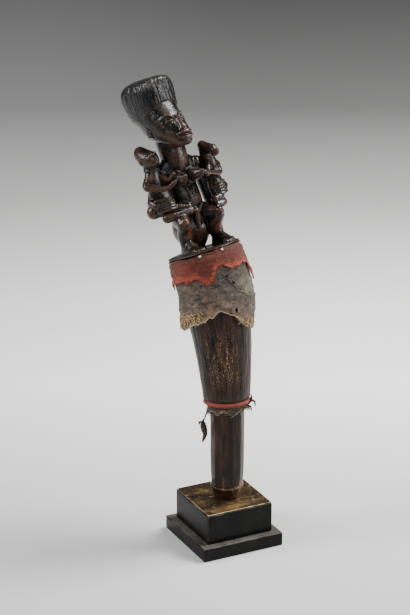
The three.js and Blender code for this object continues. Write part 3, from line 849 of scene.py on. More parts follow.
@dataclass(frozen=True)
class OldHorn:
    """Nearly black horn with lengthwise fibres, golden and ochre flecks, and a smoother rim."""

    deep: Colour = tone(8, 5, 4)
    fibre: Colour = tone(56, 37, 27)
    fleck: Colour = tone(152, 124, 90)
    ochre: Colour = tone(72, 46, 30)
    rim: Colour = tone(44, 42, 34)

    def material(self) -> bpy.types.Material:
        """Builds the finish, which reads the masks rim and rough.

        Returns:
            The material.
        """
        g = Graph("old_dark_horn")
        straight = g.straight()
        fibres = g.noise(g.stretched(straight, (1, 1, 0.05)), 1.2, 4, 0.3)
        bands = g.noise(g.stretched(straight, (1, 1, 0.12)), 6, 4, 0.4)
        scaly = g.mask("rough")
        colour = g.mix((fibres * 0.8 + bands * 0.7).rise(0.58, 0.95), self.deep, self.fibre)
        ochre = g.noise(g.stretched(straight, (1, 1, 0.3)), 4.5, 4, 0.8)
        warm = ((ochre - 0.5) * 3 + scaly * 0.25 + fibres - 0.5).rise(0.4, 1.2)
        colour = g.mix(warm * 0.45, colour, self.ochre)
        dashes = g.noise(g.stretched(straight, (1, 1, 0.4)), 0.75, 4, 0.8)
        flecks = (dashes + 0.13 * scaly + 0.35 * (bands - 0.5)).rise(0.695, 0.83)
        colour = g.mix(flecks * 0.85, colour, self.fleck)
        colour = g.mix((g.mask("rim") + (fibres - 0.5)).rise(0.3, 0.9) * 0.6, colour, self.rim)
        rough = 0.36 + 0.4 * (fibres - 0.5) + 0.3 * (bands - 0.5) + 0.15 * flecks
        return g.surface(colour, rough, [(dashes, 0.5), (fibres, 0.7)], {"Specular IOR Level": 0.18})


@dataclass(frozen=True)
class PolishedGrip:
    """Dark brown polished wood with a soft shine, worn a little lighter along its arrises; painted highlight at
    the foot.
    """

    deep: Colour = tone(15, 9, 6)
    light: Colour = tone(60, 35, 24)
    edge: Colour = tone(128, 102, 74)

    def material(self) -> bpy.types.Material:
        """Builds the finish, which reads the mask wear; on the grip it also holds a painted highlight.

        Returns:
            The material.
        """
        g = Graph("polished_dark_grip")
        straight = g.straight()
        grain = g.noise(g.stretched(straight, (1, 1, 0.05)), 2.4, 4, 0.4)
        clouds = g.noise(g.stretched(straight, (1, 1, 0.4)), 12, 3, 0.5)
        colour = g.mix((grain * 0.5 + clouds * 0.8).rise(0.5, 0.95), self.deep, self.light)
        # The wear mask lightens the worn arrises and ridge, and a painted highlight near the foot.
        worn = (g.mask("wear") + (grain - 0.5) * 0.7 + (clouds - 0.5)).rise(0.5, 1.2)
        colour = g.mix(worn * 0.65, colour, self.edge)
        rough = 0.3 + 0.2 * (clouds - 0.5) + 0.12 * (grain - 0.5) + 0.1 * worn
        reliefs = [(grain, 0.08), (g.noise(straight, 7, 2), 0.5)]
        polish = {"Coat Weight": 0.03 + 0.06 * clouds, "Coat Roughness": 0.12, "Specular IOR Level": 0.16}
        return g.surface(colour, rough, reliefs, polish)


@dataclass(frozen=True)
class WovenCloth:
    """Coarse red cloth, dusty, darkened where it is old and dirty, and brighter where it is rubbed; on the
    roll, a painted highlight on its upper turns and painted shade on its lower ones.
    """

    red: Colour = tone(86, 37, 28)
    bright: Colour = tone(138, 58, 43)
    dark: Colour = tone(34, 18, 15)
    dirt: Colour = tone(74, 60, 44)
    turns: int = 260
    pitch: float = 0.85

    def material(self, name: str) -> bpy.types.Material:
        """Builds the finish, which reads the mask of fresh cloth and painted light, and the mask soiled.

        Args:
            name: The material's name.

        Returns:
            The material.
        """
        g = Graph(name)
        straight = g.straight()
        x, y, z = g.parts(straight)
        around = y.angle_to(x) * float(self.turns)
        down = z * (2 * math.pi / self.pitch)
        wobble = g.noise(straight, 5, 2) * 4
        weft = (down + wobble + (around * 0.5).sine() * 0.5).sine() * 0.5 + 0.5
        warp = (around + wobble).sine() * 0.5 + 0.5
        weave = weft * 0.6 + warp * 0.4
        slubs = g.noise(g.stretched(straight, (0.35, 0.35, 1.1)), 1.5, 5, 0.8)
        patches = g.noise(g.stretched(straight, (0.6, 0.6, 1)), 7, 6, 1.2)
        # Brighter where the fresh mask is high; on the roll that is a painted highlight on its upper turns.
        fresh_and_lit = (g.mask("fresh_and_lit") + (patches - 0.5) * 1.3).rise(0.2, 1.1)
        colour = g.mix(fresh_and_lit, self.red, self.bright)
        # Darker where the fresh mask is low; on the roll that is painted shade on its lower turns.
        old_and_shaded = ((1 - g.mask("fresh_and_lit")) * 0.5 + (0.5 - patches) * 1.6 + (slubs - 0.5) * 2.6).rise(0.35, 1.1)
        colour = g.mix(old_and_shaded * 0.85, colour, self.dark)
        soiled = (g.mask("soiled") + (g.noise(straight, 3.2, 6, 1.2) - 0.5) * 3.4).rise(0.42, 1.15)
        colour = g.mix(soiled * 0.85, colour, self.dirt)
        colour = g.mix((0.5 - weave).rise(0.0, 0.5) * 0.22, colour, self.dark)
        reliefs = [(weave, 0.22), (slubs, 1.3), (patches, 2.0)]
        nap = {"Sheen Weight": 0.12, "Sheen Roughness": 0.5, "Specular IOR Level": 0.15}
        return g.surface(colour, 0.88 + 0.1 * (slubs - 0.5), reliefs, nap)


@dataclass(frozen=True)
class RawHide:
    """Scuffed grey-brown hide with tan patches, and coarse golden pores where its hair was."""

    grey: Colour = tone(86, 76, 68)
    dark: Colour = tone(24, 20, 18)
    tan: Colour = tone(112, 90, 70)
    pale: Colour = tone(178, 162, 134)
    gold: Colour = tone(166, 130, 82)
    pit: Colour = tone(44, 32, 22)
    green: Colour = tone(104, 104, 86)

    def material(self, name: str) -> bpy.types.Material:
        """Builds the finish, which reads the masks tan, dark, green, gold and rim.

        Args:
            name: The material's name.

        Returns:
            The material.
        """
        g = Graph(name)
        straight = g.straight()
        patches = g.noise(straight, 9, 5, 1.2)
        grain = g.noise(straight, 1.3, 4, 0.6)
        wisps = g.noise(g.stretched(straight, (0.4, 0.4, 1.0)), 3.0, 5, 0.9)
        colour = g.mix((grain * 0.8 + wisps * 0.7 + patches * 0.3).rise(0.6, 1.1), self.dark, self.grey)
        tan = (g.mask("tan") + (patches - 0.5) * 1.5 + (wisps - 0.5) * 1.2).rise(0.3, 1.05)
        colour = g.mix(tan, colour, self.tan)
        pale = (g.mask("tan") * 0.3 + (wisps - 0.5) * 2.4 + (grain - 0.5) * 2.0).rise(0.55, 1.05)
        colour = g.mix(pale * 0.62, colour, self.pale)
        colour = g.mix(g.mask("green") * patches.rise(0.3, 0.6) * 0.8, colour, self.green)
        shade = (g.mask("dark") + (patches - 0.5) * 1.6 + (grain - 0.5) * 1.6).rise(0.4, 1.0)
        colour = g.mix(shade * 0.85, colour, self.dark)
        pores = g.cells(g.stretched(straight, (1, 1, 0.8)), 1.7)
        coarse = g.mask("gold")
        golden = g.mix(grain.rise(0.36, 0.6) * 0.75, self.gold, self.pale)
        golden = g.mix((pores + (grain - 0.5) * 1.2).rise(0.28, 0.6), golden, self.pit)
        colour = g.mix((coarse + (grain - 0.5) * 0.9 + (wisps - 0.5) * 0.6).rise(0.3, 0.7), colour, golden)
        colour = g.mix((g.mask("rim") + (grain - 0.5) * 0.8).rise(0.4, 0.8) * 0.8, colour, self.pale)
        reliefs = [((1 - pores) * coarse, 0.9), (grain * 0.6 + wisps * 0.6, 1.3)]
        return g.surface(colour, 0.6 + 0.3 * (grain - 0.5), reliefs, {"Specular IOR Level": 0.2})


@dataclass(frozen=True)
class CoarseHair:
    """Dry animal hair, from pale gold to brown."""

    pale: Colour = tone(186, 154, 104)
    brown: Colour = tone(70, 48, 32)

    def material(self) -> bpy.types.Material:
        """Builds the finish.

        Returns:
            The material.
        """
        g = Graph("coarse_pale_hair")
        place = g.place()
        colour = g.mix(g.noise(place, 1.6, 3).rise(0.35, 0.6), self.pale, self.brown)
        return g.surface(colour, 0.5 + 0.2 * g.noise(place, 0.8), [], {"Sheen Weight": 0.15})


@dataclass(frozen=True)
class NailMetal:
    """Worn pale metal with brown tarnish."""

    bright: Colour = tone(214, 200, 172)
    tarnish: Colour = tone(104, 84, 60)

    def material(self) -> bpy.types.Material:
        """Builds the finish.

        Returns:
            The material.
        """
        g = Graph("worn_nail_metal")
        place = g.place()
        spots = g.noise(place, 0.9, 3).rise(0.46, 0.66)
        colour = g.mix(spots, self.bright, self.tarnish)
        reliefs = [(g.noise(place, 0.6, 2), 0.08)]
        return g.surface(colour, 0.34 + 0.3 * spots, reliefs, {"Metallic": 0.85 - 0.4 * spots})


@dataclass(frozen=True)
class PatinatedBrass:
    """Mottled brown-gold brass with bright spots and rubbed edges."""

    brown: Colour = tone(56, 42, 26)
    gold: Colour = tone(112, 88, 54)
    bright: Colour = tone(190, 168, 122)

    def material(self) -> bpy.types.Material:
        """Builds the finish, which reads the mask wear.

        Returns:
            The material.
        """
        g = Graph("patinated_brass_plate")
        place = g.place()
        blotches = g.noise(g.stretched(place, (0.5, 1, 1)), 11, 5, 0.4)
        golden = (blotches + 0.4 * (g.noise(place, 2.5, 4) - 0.5)).rise(0.38, 0.72)
        colour = g.mix(golden, self.brown, self.gold)
        spots = (g.noise(place, 5, 4, 0.3) + 0.3 * (g.noise(place, 0.7, 2) - 0.5)).rise(0.6, 0.74)
        colour = g.mix(spots * 0.8, colour, self.bright)
        worn = g.mask("wear").rise(0.2, 0.8)
        colour = g.mix(worn * 0.85, colour, self.bright)
        rough = 0.46 - 0.16 * spots + 0.2 * (blotches - 0.5)
        reliefs = [(g.noise(place, 1.4, 4), 0.06)]
        return g.surface(colour, rough, reliefs, {"Metallic": 0.75 - 0.3 * blotches.rise(0.5, 0.8)})


@dataclass(frozen=True)
class BlackLacquer:
    """Satin black lacquer on wood, dusty on top and rubbed grey along its edges."""

    black: Colour = tone(6, 6, 6)
    soft: Colour = tone(19, 17, 16)
    dust: Colour = tone(94, 89, 82)

    def material(self) -> bpy.types.Material:
        """Builds the finish, which reads the masks wear and dust.

        Returns:
            The material.
        """
        g = Graph("black_satin_lacquer")
        place = g.place()
        clouds = g.noise(place, 16, 4, 0.5)
        fine = g.noise(place, 0.9, 3)
        colour = g.mix(clouds.rise(0.3, 0.75), self.black, self.soft)
        dusty = (g.mask("dust") + (clouds - 0.5) * 1.5 + (fine - 0.5) * 1.5).rise(0.4, 1.2)
        colour = g.mix(dusty * 0.7, colour, self.dust)
        worn = (g.mask("wear") + (fine - 0.5) * 0.8 + (clouds - 0.5) * 0.8).rise(0.45, 1.0)
        colour = g.mix(worn * 0.4, colour, self.dust)
        rough = 0.33 + 0.25 * dusty + 0.2 * (clouds - 0.5) + 0.15 * worn
        return g.surface(colour, rough, [(g.noise(place, 2.2, 3), 0.05)], {"Specular IOR Level": 0.12})


@dataclass(frozen=True)
class StudioPaper:
    """Pale backdrop paper, painted with light and shade: lightest just behind the wand, grey towards the back,
    darker on its left.
    """

    painted_light_greys: Knots = (
        (0.0, 0.5), (0.12, 0.57), (0.23, 0.86), (0.33, 0.72), (0.5, 0.34), (0.7, 0.142), (1.0, 0.108),
    )
    across: float = 0.894
    away: float = 0.448
    near: float = 0.2
    depth: float = 2.6
    shaded: Colour = (0.25, 0.25, 0.25, 1.0)

    def material(self) -> bpy.types.Material:
        """Builds the finish.

        Returns:
            The material.
        """
        g = Graph("studio_paper")
        place = g.node("ShaderNodeTexCoord", {}, {}, "Object")
        x, y, _ = g.parts(place)
        # Painted light: the paper's grey is a painted falloff of the lamps' light, lightest about 0.4 m behind
        # the wand and dark grey far back.
        depth = (x * self.away + y * self.across + self.near) * (1 / self.depth)
        colour = g.ramp(depth, [(at, (grey, grey, grey, 1.0)) for at, grey in self.painted_light_greys])
        # Painted shade: darker towards the paper's left side.
        left = (y * self.away - x * self.across).rise(-0.12, 0.42)
        colour = g.mix(left * 0.3, colour, self.shaded)
        rough = 0.85 + 0.1 * g.noise(place, 0.6)
        return g.surface(colour, rough, [], {"Specular IOR Level": 0.1})


# The wand's parts below the figure. Angles are in degrees from a line near the figure's front and grow
# towards its left, and depths are lengths below the top of the figure's disc.

FRONT = 245
HORN_RADII = [
    (8, 33.4), (26, 34.2), (50, 32.9), (67, 31.5), (83, 29.9), (102, 28.1), (121, 26.3), (145, 24.3),
    (153, 23.8),
]
HORN_TOP = 8.3
HORN_LIP = 2.5
HORN_BOTTOM = 155.5
RING_TOP = HORN_BOTTOM + GAP
SWEEP = np.linspace(-180, 180, 721)
SEAM = 1e-3

CLOTH_TOP = [
    (-180, 3.4), (-120, 4), (-90, 3.6), (-53, 2.9), (-40, 3), (-29, 4.5), (-20, 4), (-7, 2.9), (8, 3.6),
    (26, 2.9), (77, 3.5), (130, 2.9), (180, 3.4),
]
CLOTH_EDGE = [
    (-180, 25), (-158, 27), (-138, 32), (-130, 25), (-108, 28), (-98, 26), (-93, 32), (-86, 31), (-80, 26),
    (-71, 27), (-65, 26.5), (-46.5, 24.8), (-40.5, 28.4), (-32.5, 26.2), (-24.5, 24.5), (-18, 25.6),
    (-13, 29.6), (-8, 32.3), (-4, 32.5), (1.5, 30), (5.5, 27), (7.5, 22), (12.5, 18.3), (22.5, 17.8),
    (27, 20.8), (33, 23.6), (39, 22.5), (48, 22.9), (54.5, 21.2), (67, 22), (75, 23.4), (79, 32), (84, 39),
    (94, 40), (99, 31), (107, 25), (126, 28), (147, 22), (169, 28), (180, 25),
]
HIDE_EDGE = [
    (-180, 67), (-155, 75), (-134, 65), (-112, 73), (-100, 76), (-90, 77.5), (-84, 74.5), (-75, 77),
    (-66.5, 75.4), (-54, 72.9), (-44, 70.6), (-35, 70), (-28, 68.6), (-22, 66.9), (-16.5, 63.9),
    (-12.5, 65.8), (-4, 62.3), (0, 60.1), (5.5, 60.5), (16.5, 64.2), (28, 67.9), (36.5, 74), (44, 78.9),
    (52, 80.6), (58.5, 82.4), (63, 81.6), (68, 80), (72, 73), (77, 71.5), (84, 67), (92, 69), (100, 65),
    (119, 68), (130, 73), (148, 74), (170, 66), (180, 67),
]
HIDE_FLARE = [
    (-180, 1), (-130, 2), (-85, 5.6), (-50, 2.6), (-20, 0.8), (0, 0.6), (30, 0.8), (60, 2.6), (85, 2.4),
    (120, 1), (180, 1),
]
SHRED_EDGE = [
    (-180, 10), (-158, 8), (-135, 11), (-110, 5), (-98, 9), (-88, 14), (-78, 10), (-66, 12), (-58, 7),
    (-48, 6), (-38, 10), (-28, 12), (-20, 6), (-10, 4), (-2, 5), (8, 9), (16, 13), (23, 10), (42, 5),
    (52, 9), (60, 7), (72, 4), (85, 6), (108, 12), (130, 5), (155, 14), (166, 9), (180, 10),
]


def around(angle: np.ndarray | float, radius: np.ndarray | float, depth: np.ndarray | float) -> np.ndarray:
    """Gives unbent places at angles, radii and depths.

    Args:
        angle: The angles, in degrees.
        radius: The distances from the axis.
        depth: The depths.

    Returns:
        One row for each place.
    """
    turn = np.radians(np.asarray(angle, float) + FRONT)
    places = (radius * np.cos(turn), radius * np.sin(turn), -np.asarray(depth))
    return np.column_stack(np.broadcast_arrays(*places))


def swollen(points: np.ndarray, amount: np.ndarray) -> np.ndarray:
    """Moves unbent points out from the axis by some amounts."""
    scale = 1 + amount / np.maximum(from_middle(points), 1)
    return points * np.column_stack([scale, scale, np.ones(len(points))])


def frayed(angle: np.ndarray, radius: float, teeth: Sequence[Place]) -> np.ndarray:
    """Gives how far the teeth of a torn edge reach down, by the radius of the edge and the teeth's size.

    Args:
        angle: Where to read it.
        radius: The edge's radius.
        teeth: The height, pitch and seed of the large teeth and of the small ones.

    Returns:
        The reach at each angle.
    """
    turn = np.radians(angle)
    ring = np.column_stack([np.cos(turn), np.sin(turn), turn * 0]) * radius
    layers = zip(teeth, (2, 1))
    return sum(high * wander(ring, pitch, octaves, seed) for (high, pitch, seed), octaves in layers)


def bent(shape: Shape) -> Shape:
    """Bends a form along the wand's axis, and keeps its unbent places for its finish.

    Args:
        shape: The form, made straight.

    Returns:
        The same form.
    """
    layer = shape.bm.verts.layers.float_vector.new("straight")
    for vert in shape.bm.verts:
        vert[layer] = vert.co
    return shape.warp(AXIS.bend)


def angle_and_depth(points: np.ndarray) -> tuple[np.ndarray, np.ndarray, np.ndarray]:
    """Gives the angle, depth and radius of unbent places."""
    angle = (np.degrees(np.arctan2(points[:, 1], points[:, 0])) - FRONT + 180) % 360 - 180
    return angle, -points[:, 2], from_middle(points)


def unbent(mesh: bpy.types.Mesh) -> np.ndarray:
    """Reads a mesh's unbent places.

    Args:
        mesh: A bent mesh.

    Returns:
        One row for each corner.
    """
    values = np.empty(len(mesh.vertices) * 3, np.float32)
    mesh.attributes["straight"].data.foreach_get("vector", values)
    return values.reshape(-1, 3).astype(float)


def wrap(
    name: str, flat: Shape, lay: Move, thickness: float, tear: Callable[[Shape], None] | None = None
) -> bpy.types.Object:
    """Lays a flat sheet round the wand, closes its seam, tears its holes and gives it its thickness.

    Args:
        name: The object's name.
        flat: The flat grid.
        lay: What lays the grid round the wand.
        thickness: The sheet's thickness.
        tear: What tears holes in it.

    Returns:
        The object.
    """
    shape = flat.warp(lay).weld(SEAM)
    if tear:
        tear(shape)
    obj = linked(name, bent(shape).mesh(name))
    return finished(obj, ("SOLIDIFY", {"thickness": thickness, "offset": 0.0, "use_even_offset": False}))


def lock(
    angles: np.ndarray, radii: np.ndarray, depths: np.ndarray, width: float, taper: Sequence[float]
) -> list[Joint]:
    """Gives the joints of one thread or hair, by its unbent places, its width and its taper.

    Args:
        angles: Its angles.
        radii: Its distances from the axis.
        depths: Its depths.
        width: Its radius at the root.
        taper: The share of that radius at each place.

    Returns:
        The joints.
    """
    return [(tuple(p), width * share) for p, share in zip(around(angles, radii, depths), taper)]


def strands(paths: Iterable[Sequence[Joint]]) -> bpy.types.Mesh:
    """Makes threads or hairs, each along its own unbent joints, as one bent mesh.

    Args:
        paths: The joints of each.

    Returns:
        The mesh.
    """
    mesh = bent(Shape().absorb(Shape.limb(path, 4, per_step=2, cap=1) for path in paths)).mesh("strands")
    Skin(mesh).paint("fresh_and_lit", np.full(len(mesh.vertices), 0.6))
    return mesh


@dataclass
class Horn:
    """The curved horn: lengthwise fibres in relief, and a rounded lip at its lower end."""

    sides: int = 200
    rings: int = 110
    fibre_depth: float = 0.42
    finish: OldHorn = OldHorn()

    def radius(self, depth: np.ndarray | float) -> np.ndarray:
        """Gives the horn's radius at a depth."""
        return between(HORN_RADII, depth)

    def build(self) -> None:
        """Makes the horn and dresses it."""
        depths = np.linspace(HORN_TOP, HORN_BOTTOM - HORN_LIP, self.rings)
        profile = [(0, -HORN_TOP), *zip(self.radius(depths), -depths)]
        lip = self.radius(HORN_BOTTOM - HORN_LIP) - HORN_LIP
        for turn in np.radians([30, 60, 90]):
            low = HORN_BOTTOM - HORN_LIP * (1 - math.sin(turn))
            profile.append((lip + HORN_LIP * math.cos(turn), -low))
        profile.append((0, -HORN_BOTTOM))
        mesh = bent(Shape.turned(profile, self.sides).warp(self._carve_fibres)).mesh("horn_body")
        angle, depth, _ = angle_and_depth(unbent(mesh))
        skin = Skin(mesh)
        skin.paint("rim", 0.75 * smoothstep(depth, HORN_BOTTOM - 14, HORN_BOTTOM - 3))
        skin.paint("rough", bump_between(angle, -38, 40, 14) * bump_between(depth, 78, 140, 14))
        piece(linked("horn_body", mesh), self.finish.material(), "horn", "horn")

    def _carve_fibres(self, points: np.ndarray) -> np.ndarray:
        """Draws fibres, dents and chips along the horn.

        Args:
            points: The unbent points.

        Returns:
            Their new places.
        """
        along = points * (1, 1, 0.035)
        ridge = wander(along, 2.6, 2) + 0.7 * wander(along * (1, 1, 1.6), 6.5, 2, seed=2)
        wave = wander(points * (1, 1, 0.2), 24, 2, seed=5)
        smoother = 1 - 0.6 * smoothstep(-points[:, 2], 128, 150)
        side = smoothstep(from_middle(points), 12, 20)
        return swollen(points, side * (self.fibre_depth * smoother * ridge + 0.35 * wave - 0.15))


@dataclass
class HideCuff:
    """The torn hide round the horn: creased, with a stitched seam, holes, a flared edge and a fringe.

    Each hole has its angle and depth, and half its width and height.
    """

    horn: Horn
    thickness: float = 1.1
    slack: float = 0.9
    columns: int = 460
    rows: int = 96
    top: float = 11.0
    middle: float = 32.0
    teeth: tuple[Place, Place] = ((1.1, 3.2, 3), (0.5, 0.9, 8))
    seam: Knots = ((18, 24), (28, 33), (40, 43), (60, 50), (84, 52))
    holes: tuple[tuple[float, float, float, float], ...] = (
        (24.0, 29.5, 1.6, 0.9), (33.0, 37.0, 1.9, 1.0), (44.0, 44.5, 1.3, 1.0), (29.0, 62.0, 1.3, 2.1),
        (63.0, 50.5, 1.4, 0.8), (-112.0, 60.0, 1.6, 2.4), (150.0, 52.0, 2.2, 1.4),
    )
    finish: RawHide = RawHide()
    hair: CoarseHair = CoarseHair()
    seed: int = 11

    def inner(self, depth: np.ndarray, angle: np.ndarray) -> np.ndarray:
        """Gives the radius of the hide's inner side."""
        curl = between(HIDE_FLARE, angle) * smoothstep(depth, 38, 74)
        return self.horn.radius(depth) + GAP + self.slack + curl

    def edge(self, angle: np.ndarray) -> np.ndarray:
        """Gives the depth of the torn edge."""
        return between(HIDE_EDGE, angle) + frayed(angle, self.middle, self.teeth)

    def _lay(self, grid: np.ndarray) -> np.ndarray:
        """Lays the flat grid round the horn, with its creases.

        Args:
            grid: The grid's points, from 0 to 1 round and down.

        Returns:
            Their unbent places.
        """
        angle = grid[:, 0] * 360 - 180
        bottom = self.edge(angle)
        depth = self.top + (bottom - self.top) * grid[:, 1]
        radius = self.inner(depth, angle) + self.thickness / 2
        flat = around(angle, self.middle, depth)
        loose = smoothstep(depth, 24, 40)
        creases = 1 - np.abs(wander(flat * (1, 1, 1.4), 15, 1, 1)) * 2.6
        pleats = wander(flat * (0.7, 0.7, 0.8), 9, 2, 4)
        radius = radius + loose * (0.8 * np.maximum(creases, -0.4) + 0.6 * pleats)
        radius = radius + 0.3 * wander(flat, 3.4, 2, 6)
        under = depth - between(self.seam, angle)
        on_seam = bump_between(angle, 20, 92, 4)
        lip = 1.2 * np.exp(-(((under - 1.6) / 1.5) ** 2)) - 0.7 * np.exp(-((under / 0.9) ** 2))
        radius = radius + on_seam * lip
        bulge = bump_between(angle, 62, 128, 22) * bump_between(depth, 30, 58, 9)
        radius = radius + 2.2 * bulge + 0.9 * smoothstep(bottom - depth, 5, 0) * wander(flat, 8, 1, 9)
        radius = np.maximum(radius, self.horn.radius(depth) + GAP + self.thickness / 2)
        return around(angle, radius, depth)

    def _pierce(self, shape: Shape) -> None:
        """Tears the holes out of the sheet.

        Args:
            shape: The laid sheet.
        """
        angle, depth, radius = angle_and_depth(np.array([f.calc_center_median()[:] for f in shape.bm.faces]))
        torn = np.zeros(len(angle), bool)
        rag = 1 + 0.5 * wander(np.column_stack([angle * 0.6, depth, depth * 0]), 2.2, 1, 3)
        for at, down, wide, high in self.holes:
            across = np.radians(angle - at) * radius
            torn |= (across / wide) ** 2 + ((depth - down) / high) ** 2 < rag
        faces = [f for f, gone in zip(shape.bm.faces, torn) if gone]
        bmesh.ops.delete(shape.bm, geom=faces, context="FACES")

    def _hairs(self) -> bpy.types.Object:
        """Makes the fringe of hair at the torn edge, thick at the left and on the right tongue.

        Returns:
            The object.
        """
        rng = np.random.default_rng(self.seed)
        left, tongue, everywhere = (-118, -22, 60, 260), (28, 66, 72, 120), (-180, 180, 0, 60)
        paths = []
        for start, end, high, count in (left, tongue, everywhere):
            for angle in rng.uniform(start, end, count):
                edge = float(self.edge(np.array([angle]))[0])
                reach = min(3.0, edge) if high == 0 else min(15.0, max(edge - high, 0.6))
                root = edge - rng.uniform(0.2, reach)
                length = rng.uniform(1.2, 2.6) if rng.random() < 0.93 else rng.uniform(3, 6)
                sway, lift = rng.normal(0, 3.0), rng.uniform(0.2, 0.9)
                depths = root + length * np.array([0, 0.35, 0.7, 1.0])
                angles = angle + sway * np.array([0, 0.25, 0.65, 1.0])
                clear = self.inner(depths, angles) + self.thickness + lift * np.array([0, 0.9, 1.1, 0.7])
                paths.append(lock(angles, clear, depths, rng.uniform(0.13, 0.24), (1, 0.9, 0.75, 0.4)))
        return piece(linked("hide_fringe", strands(paths)), self.hair.material(), "hide")

    def build(self) -> None:
        obj = wrap("hide_wrap", Shape.sheet(self.columns, self.rows), self._lay, self.thickness, self._pierce)
        skin = Skin(obj.data)
        angle, depth, _ = angle_and_depth(unbent(obj.data))
        up = self.edge(angle) - depth
        low = smoothstep(depth, 40, 66)
        tan = 0.1 + 0.35 * low + 0.3 * smoothstep(up, 8, 1)
        skin.paint("tan", tan + 0.3 * bump_between(angle, -60, 10, 20))
        shade = 0.4 * smoothstep(depth, 44, 26)
        shade = shade + 0.35 * bump_between(angle, 30, 100, 14) * bump_between(depth, 50, 70, 6)
        shade = shade + 0.3 * bump_between(angle, 2, 80, 16) * bump_between(depth, 30, 56, 9)
        skin.paint("dark", shade)
        wobble = 2.5 * wander(around(angle, 33, 0), 9, 2, 14)
        left = bump_between(angle, -125, -24, 5) * smoothstep(depth - wobble, 54, 61)
        right = bump_between(angle, 32, 66, 4) * smoothstep(depth - wobble, 69.5, 75)
        skin.paint("gold", left + right)
        skin.paint("rim", smoothstep(up, 1.6, 0.4) * (1 - 0.4 * bump_between(angle, 36, 70, 6)))
        skin.paint("green", bump_between(angle, 48, 100, 12) * bump_between(depth, 34, 52, 5))
        hide = piece(obj, self.finish.material("scuffed_hide"), "hide", "hide_cuff")
        fringe = self._hairs()
        drop = self.edge(SWEEP) - self.top


@dataclass
class ClothBand:
    """The torn red cloth over the hide, nailed to the figure's disc: horizontal folds and a frayed edge."""

    hide: HideCuff
    thickness: float = 0.9
    slack: float = 0.9
    disc_radius: float = 34.6
    shoulder: float = 9.5
    middle: float = 36.0
    teeth: tuple[Place, Place] = ((1.3, 2.0, 2), (0.7, 0.6, 6))
    columns: int = 480
    rows: int = 54
    finish: WovenCloth = WovenCloth()
    seed: int = 5

    def inner(self, depth: np.ndarray, angle: np.ndarray) -> np.ndarray:
        """Gives the radius of the cloth's inner side: on the disc, then on the hide.

        Args:
            depth: The depths.
            angle: The angles.

        Returns:
            The radii.
        """
        on_disc = self.disc_radius + self.slack
        on_hide = self.hide.inner(np.asarray(depth), angle) + self.hide.thickness + self.slack
        share = smoothstep(depth, self.shoulder - 4.5, self.shoulder)
        return on_disc + (on_hide - on_disc) * share

    def edge(self, angle: np.ndarray) -> np.ndarray:
        """Gives the depth of the torn edge."""
        return between(CLOTH_EDGE, angle) + frayed(angle, self.middle, self.teeth)

    def _lay(self, grid: np.ndarray) -> np.ndarray:
        """Lays the flat grid round the wand, with its folds.

        Args:
            grid: The grid's points, from 0 to 1 round and down.

        Returns:
            Their unbent places.
        """
        angle = grid[:, 0] * 360 - 180
        top, bottom = between(CLOTH_TOP, angle), self.edge(angle)
        depth = top + (bottom - top) * grid[:, 1]
        radius = self.inner(depth, angle) + self.thickness / 2
        flat = around(angle, self.middle, depth)
        long_folds = 1 - 2.4 * np.abs(wander(flat * (0.28, 0.28, 1.25), 6.5, 1, 3))
        slopes = wander(flat * (0.5, 0.5, 0.9), 8, 2, 7)
        hem = 0.9 * np.exp(-(((depth - top - 1.2) / 1.1) ** 2))
        free = smoothstep(bottom - depth, 9, 0)
        radius = radius + 0.55 * np.maximum(long_folds, -0.5) * smoothstep(depth, 5, 11)
        radius = radius + 0.45 * slopes + 0.3 * hem
        radius = radius + free * (0.5 + 0.9 * wander(flat * (1, 1, 0.3), 7, 1, 12))
        strip = bump_between(angle, 78, 98, 5) * smoothstep(depth, 24, 32)
        return around(angle, radius + 2.2 * strip, depth)

    def _threads(self) -> bpy.types.Object:
        """Makes the loose threads along the torn edge.

        Returns:
            The object.
        """
        rng = np.random.default_rng(self.seed)
        paths = []
        everywhere, right_lobe, left_tuft = (-180, 180, 190), (78, 100, 40), (-99, -83, 80)
        for angle in np.concatenate([rng.uniform(*span) for span in (everywhere, right_lobe, left_tuft)]):
            edge = float(self.edge(np.array([angle]))[0])
            length = rng.uniform(0.8, 2.4) if rng.random() < 0.9 else rng.uniform(3, 6)
            sway = rng.normal(0, 4.5)
            depths = edge - 0.8 + length * np.array([0, 0.4, 0.75, 1.0])
            angles = angle + sway * np.array([0, 0.3, 0.7, 1.0])
            clear = self.inner(depths, angles) + self.thickness * 0.6
            clear = clear + rng.uniform(0.1, 0.9) * np.array([0.3, 1, 1, 0.4])
            paths.append(lock(angles, clear, depths, rng.uniform(0.16, 0.26), (1, 1, 0.9, 0.6)))
        return piece(linked("cloth_threads", strands(paths)), self.finish.material("cloth_thread"), "cloth")

    def build(self) -> None:
        obj = wrap("cloth_wrap", Shape.sheet(self.columns, self.rows), self._lay, self.thickness)
        skin = Skin(obj.data)
        angle, depth, _ = angle_and_depth(unbent(obj.data))
        up = self.edge(angle) - depth
        # Lighter towards the torn lower edge and on one side, and darker towards the top.
        fresh_and_lit = 0.2 + 0.75 * smoothstep(up, 10, 1) * smoothstep(depth, 12, 20)
        fresh_and_lit = fresh_and_lit + 0.3 * bump_between(angle, -70, -30, 10)
        skin.paint("fresh_and_lit", fresh_and_lit - 0.25 * smoothstep(depth, 12, 4))
        stain = bump_between(angle, 10, 40, 8) * smoothstep(depth, 8, 14)
        soiled = 0.2 + 0.45 * smoothstep(depth, 14, 4) + 0.4 * stain
        skin.paint("soiled", soiled - 0.3 * smoothstep(up, 8, 1))
        cloth = piece(obj, self.finish.material("old_red_cloth"), "cloth", "cloth_band")
        threads = self._threads()
        drop = self.edge(SWEEP) - between(CLOTH_TOP, SWEEP)


# The carving, in its own frame: the middle of the disc's top is the origin, the mother faces -Y, and her left
# side is at +X. Paired places are given for her left side.

LOOP_RADIUS = 4.0
LOOP_TUBE = 0.8


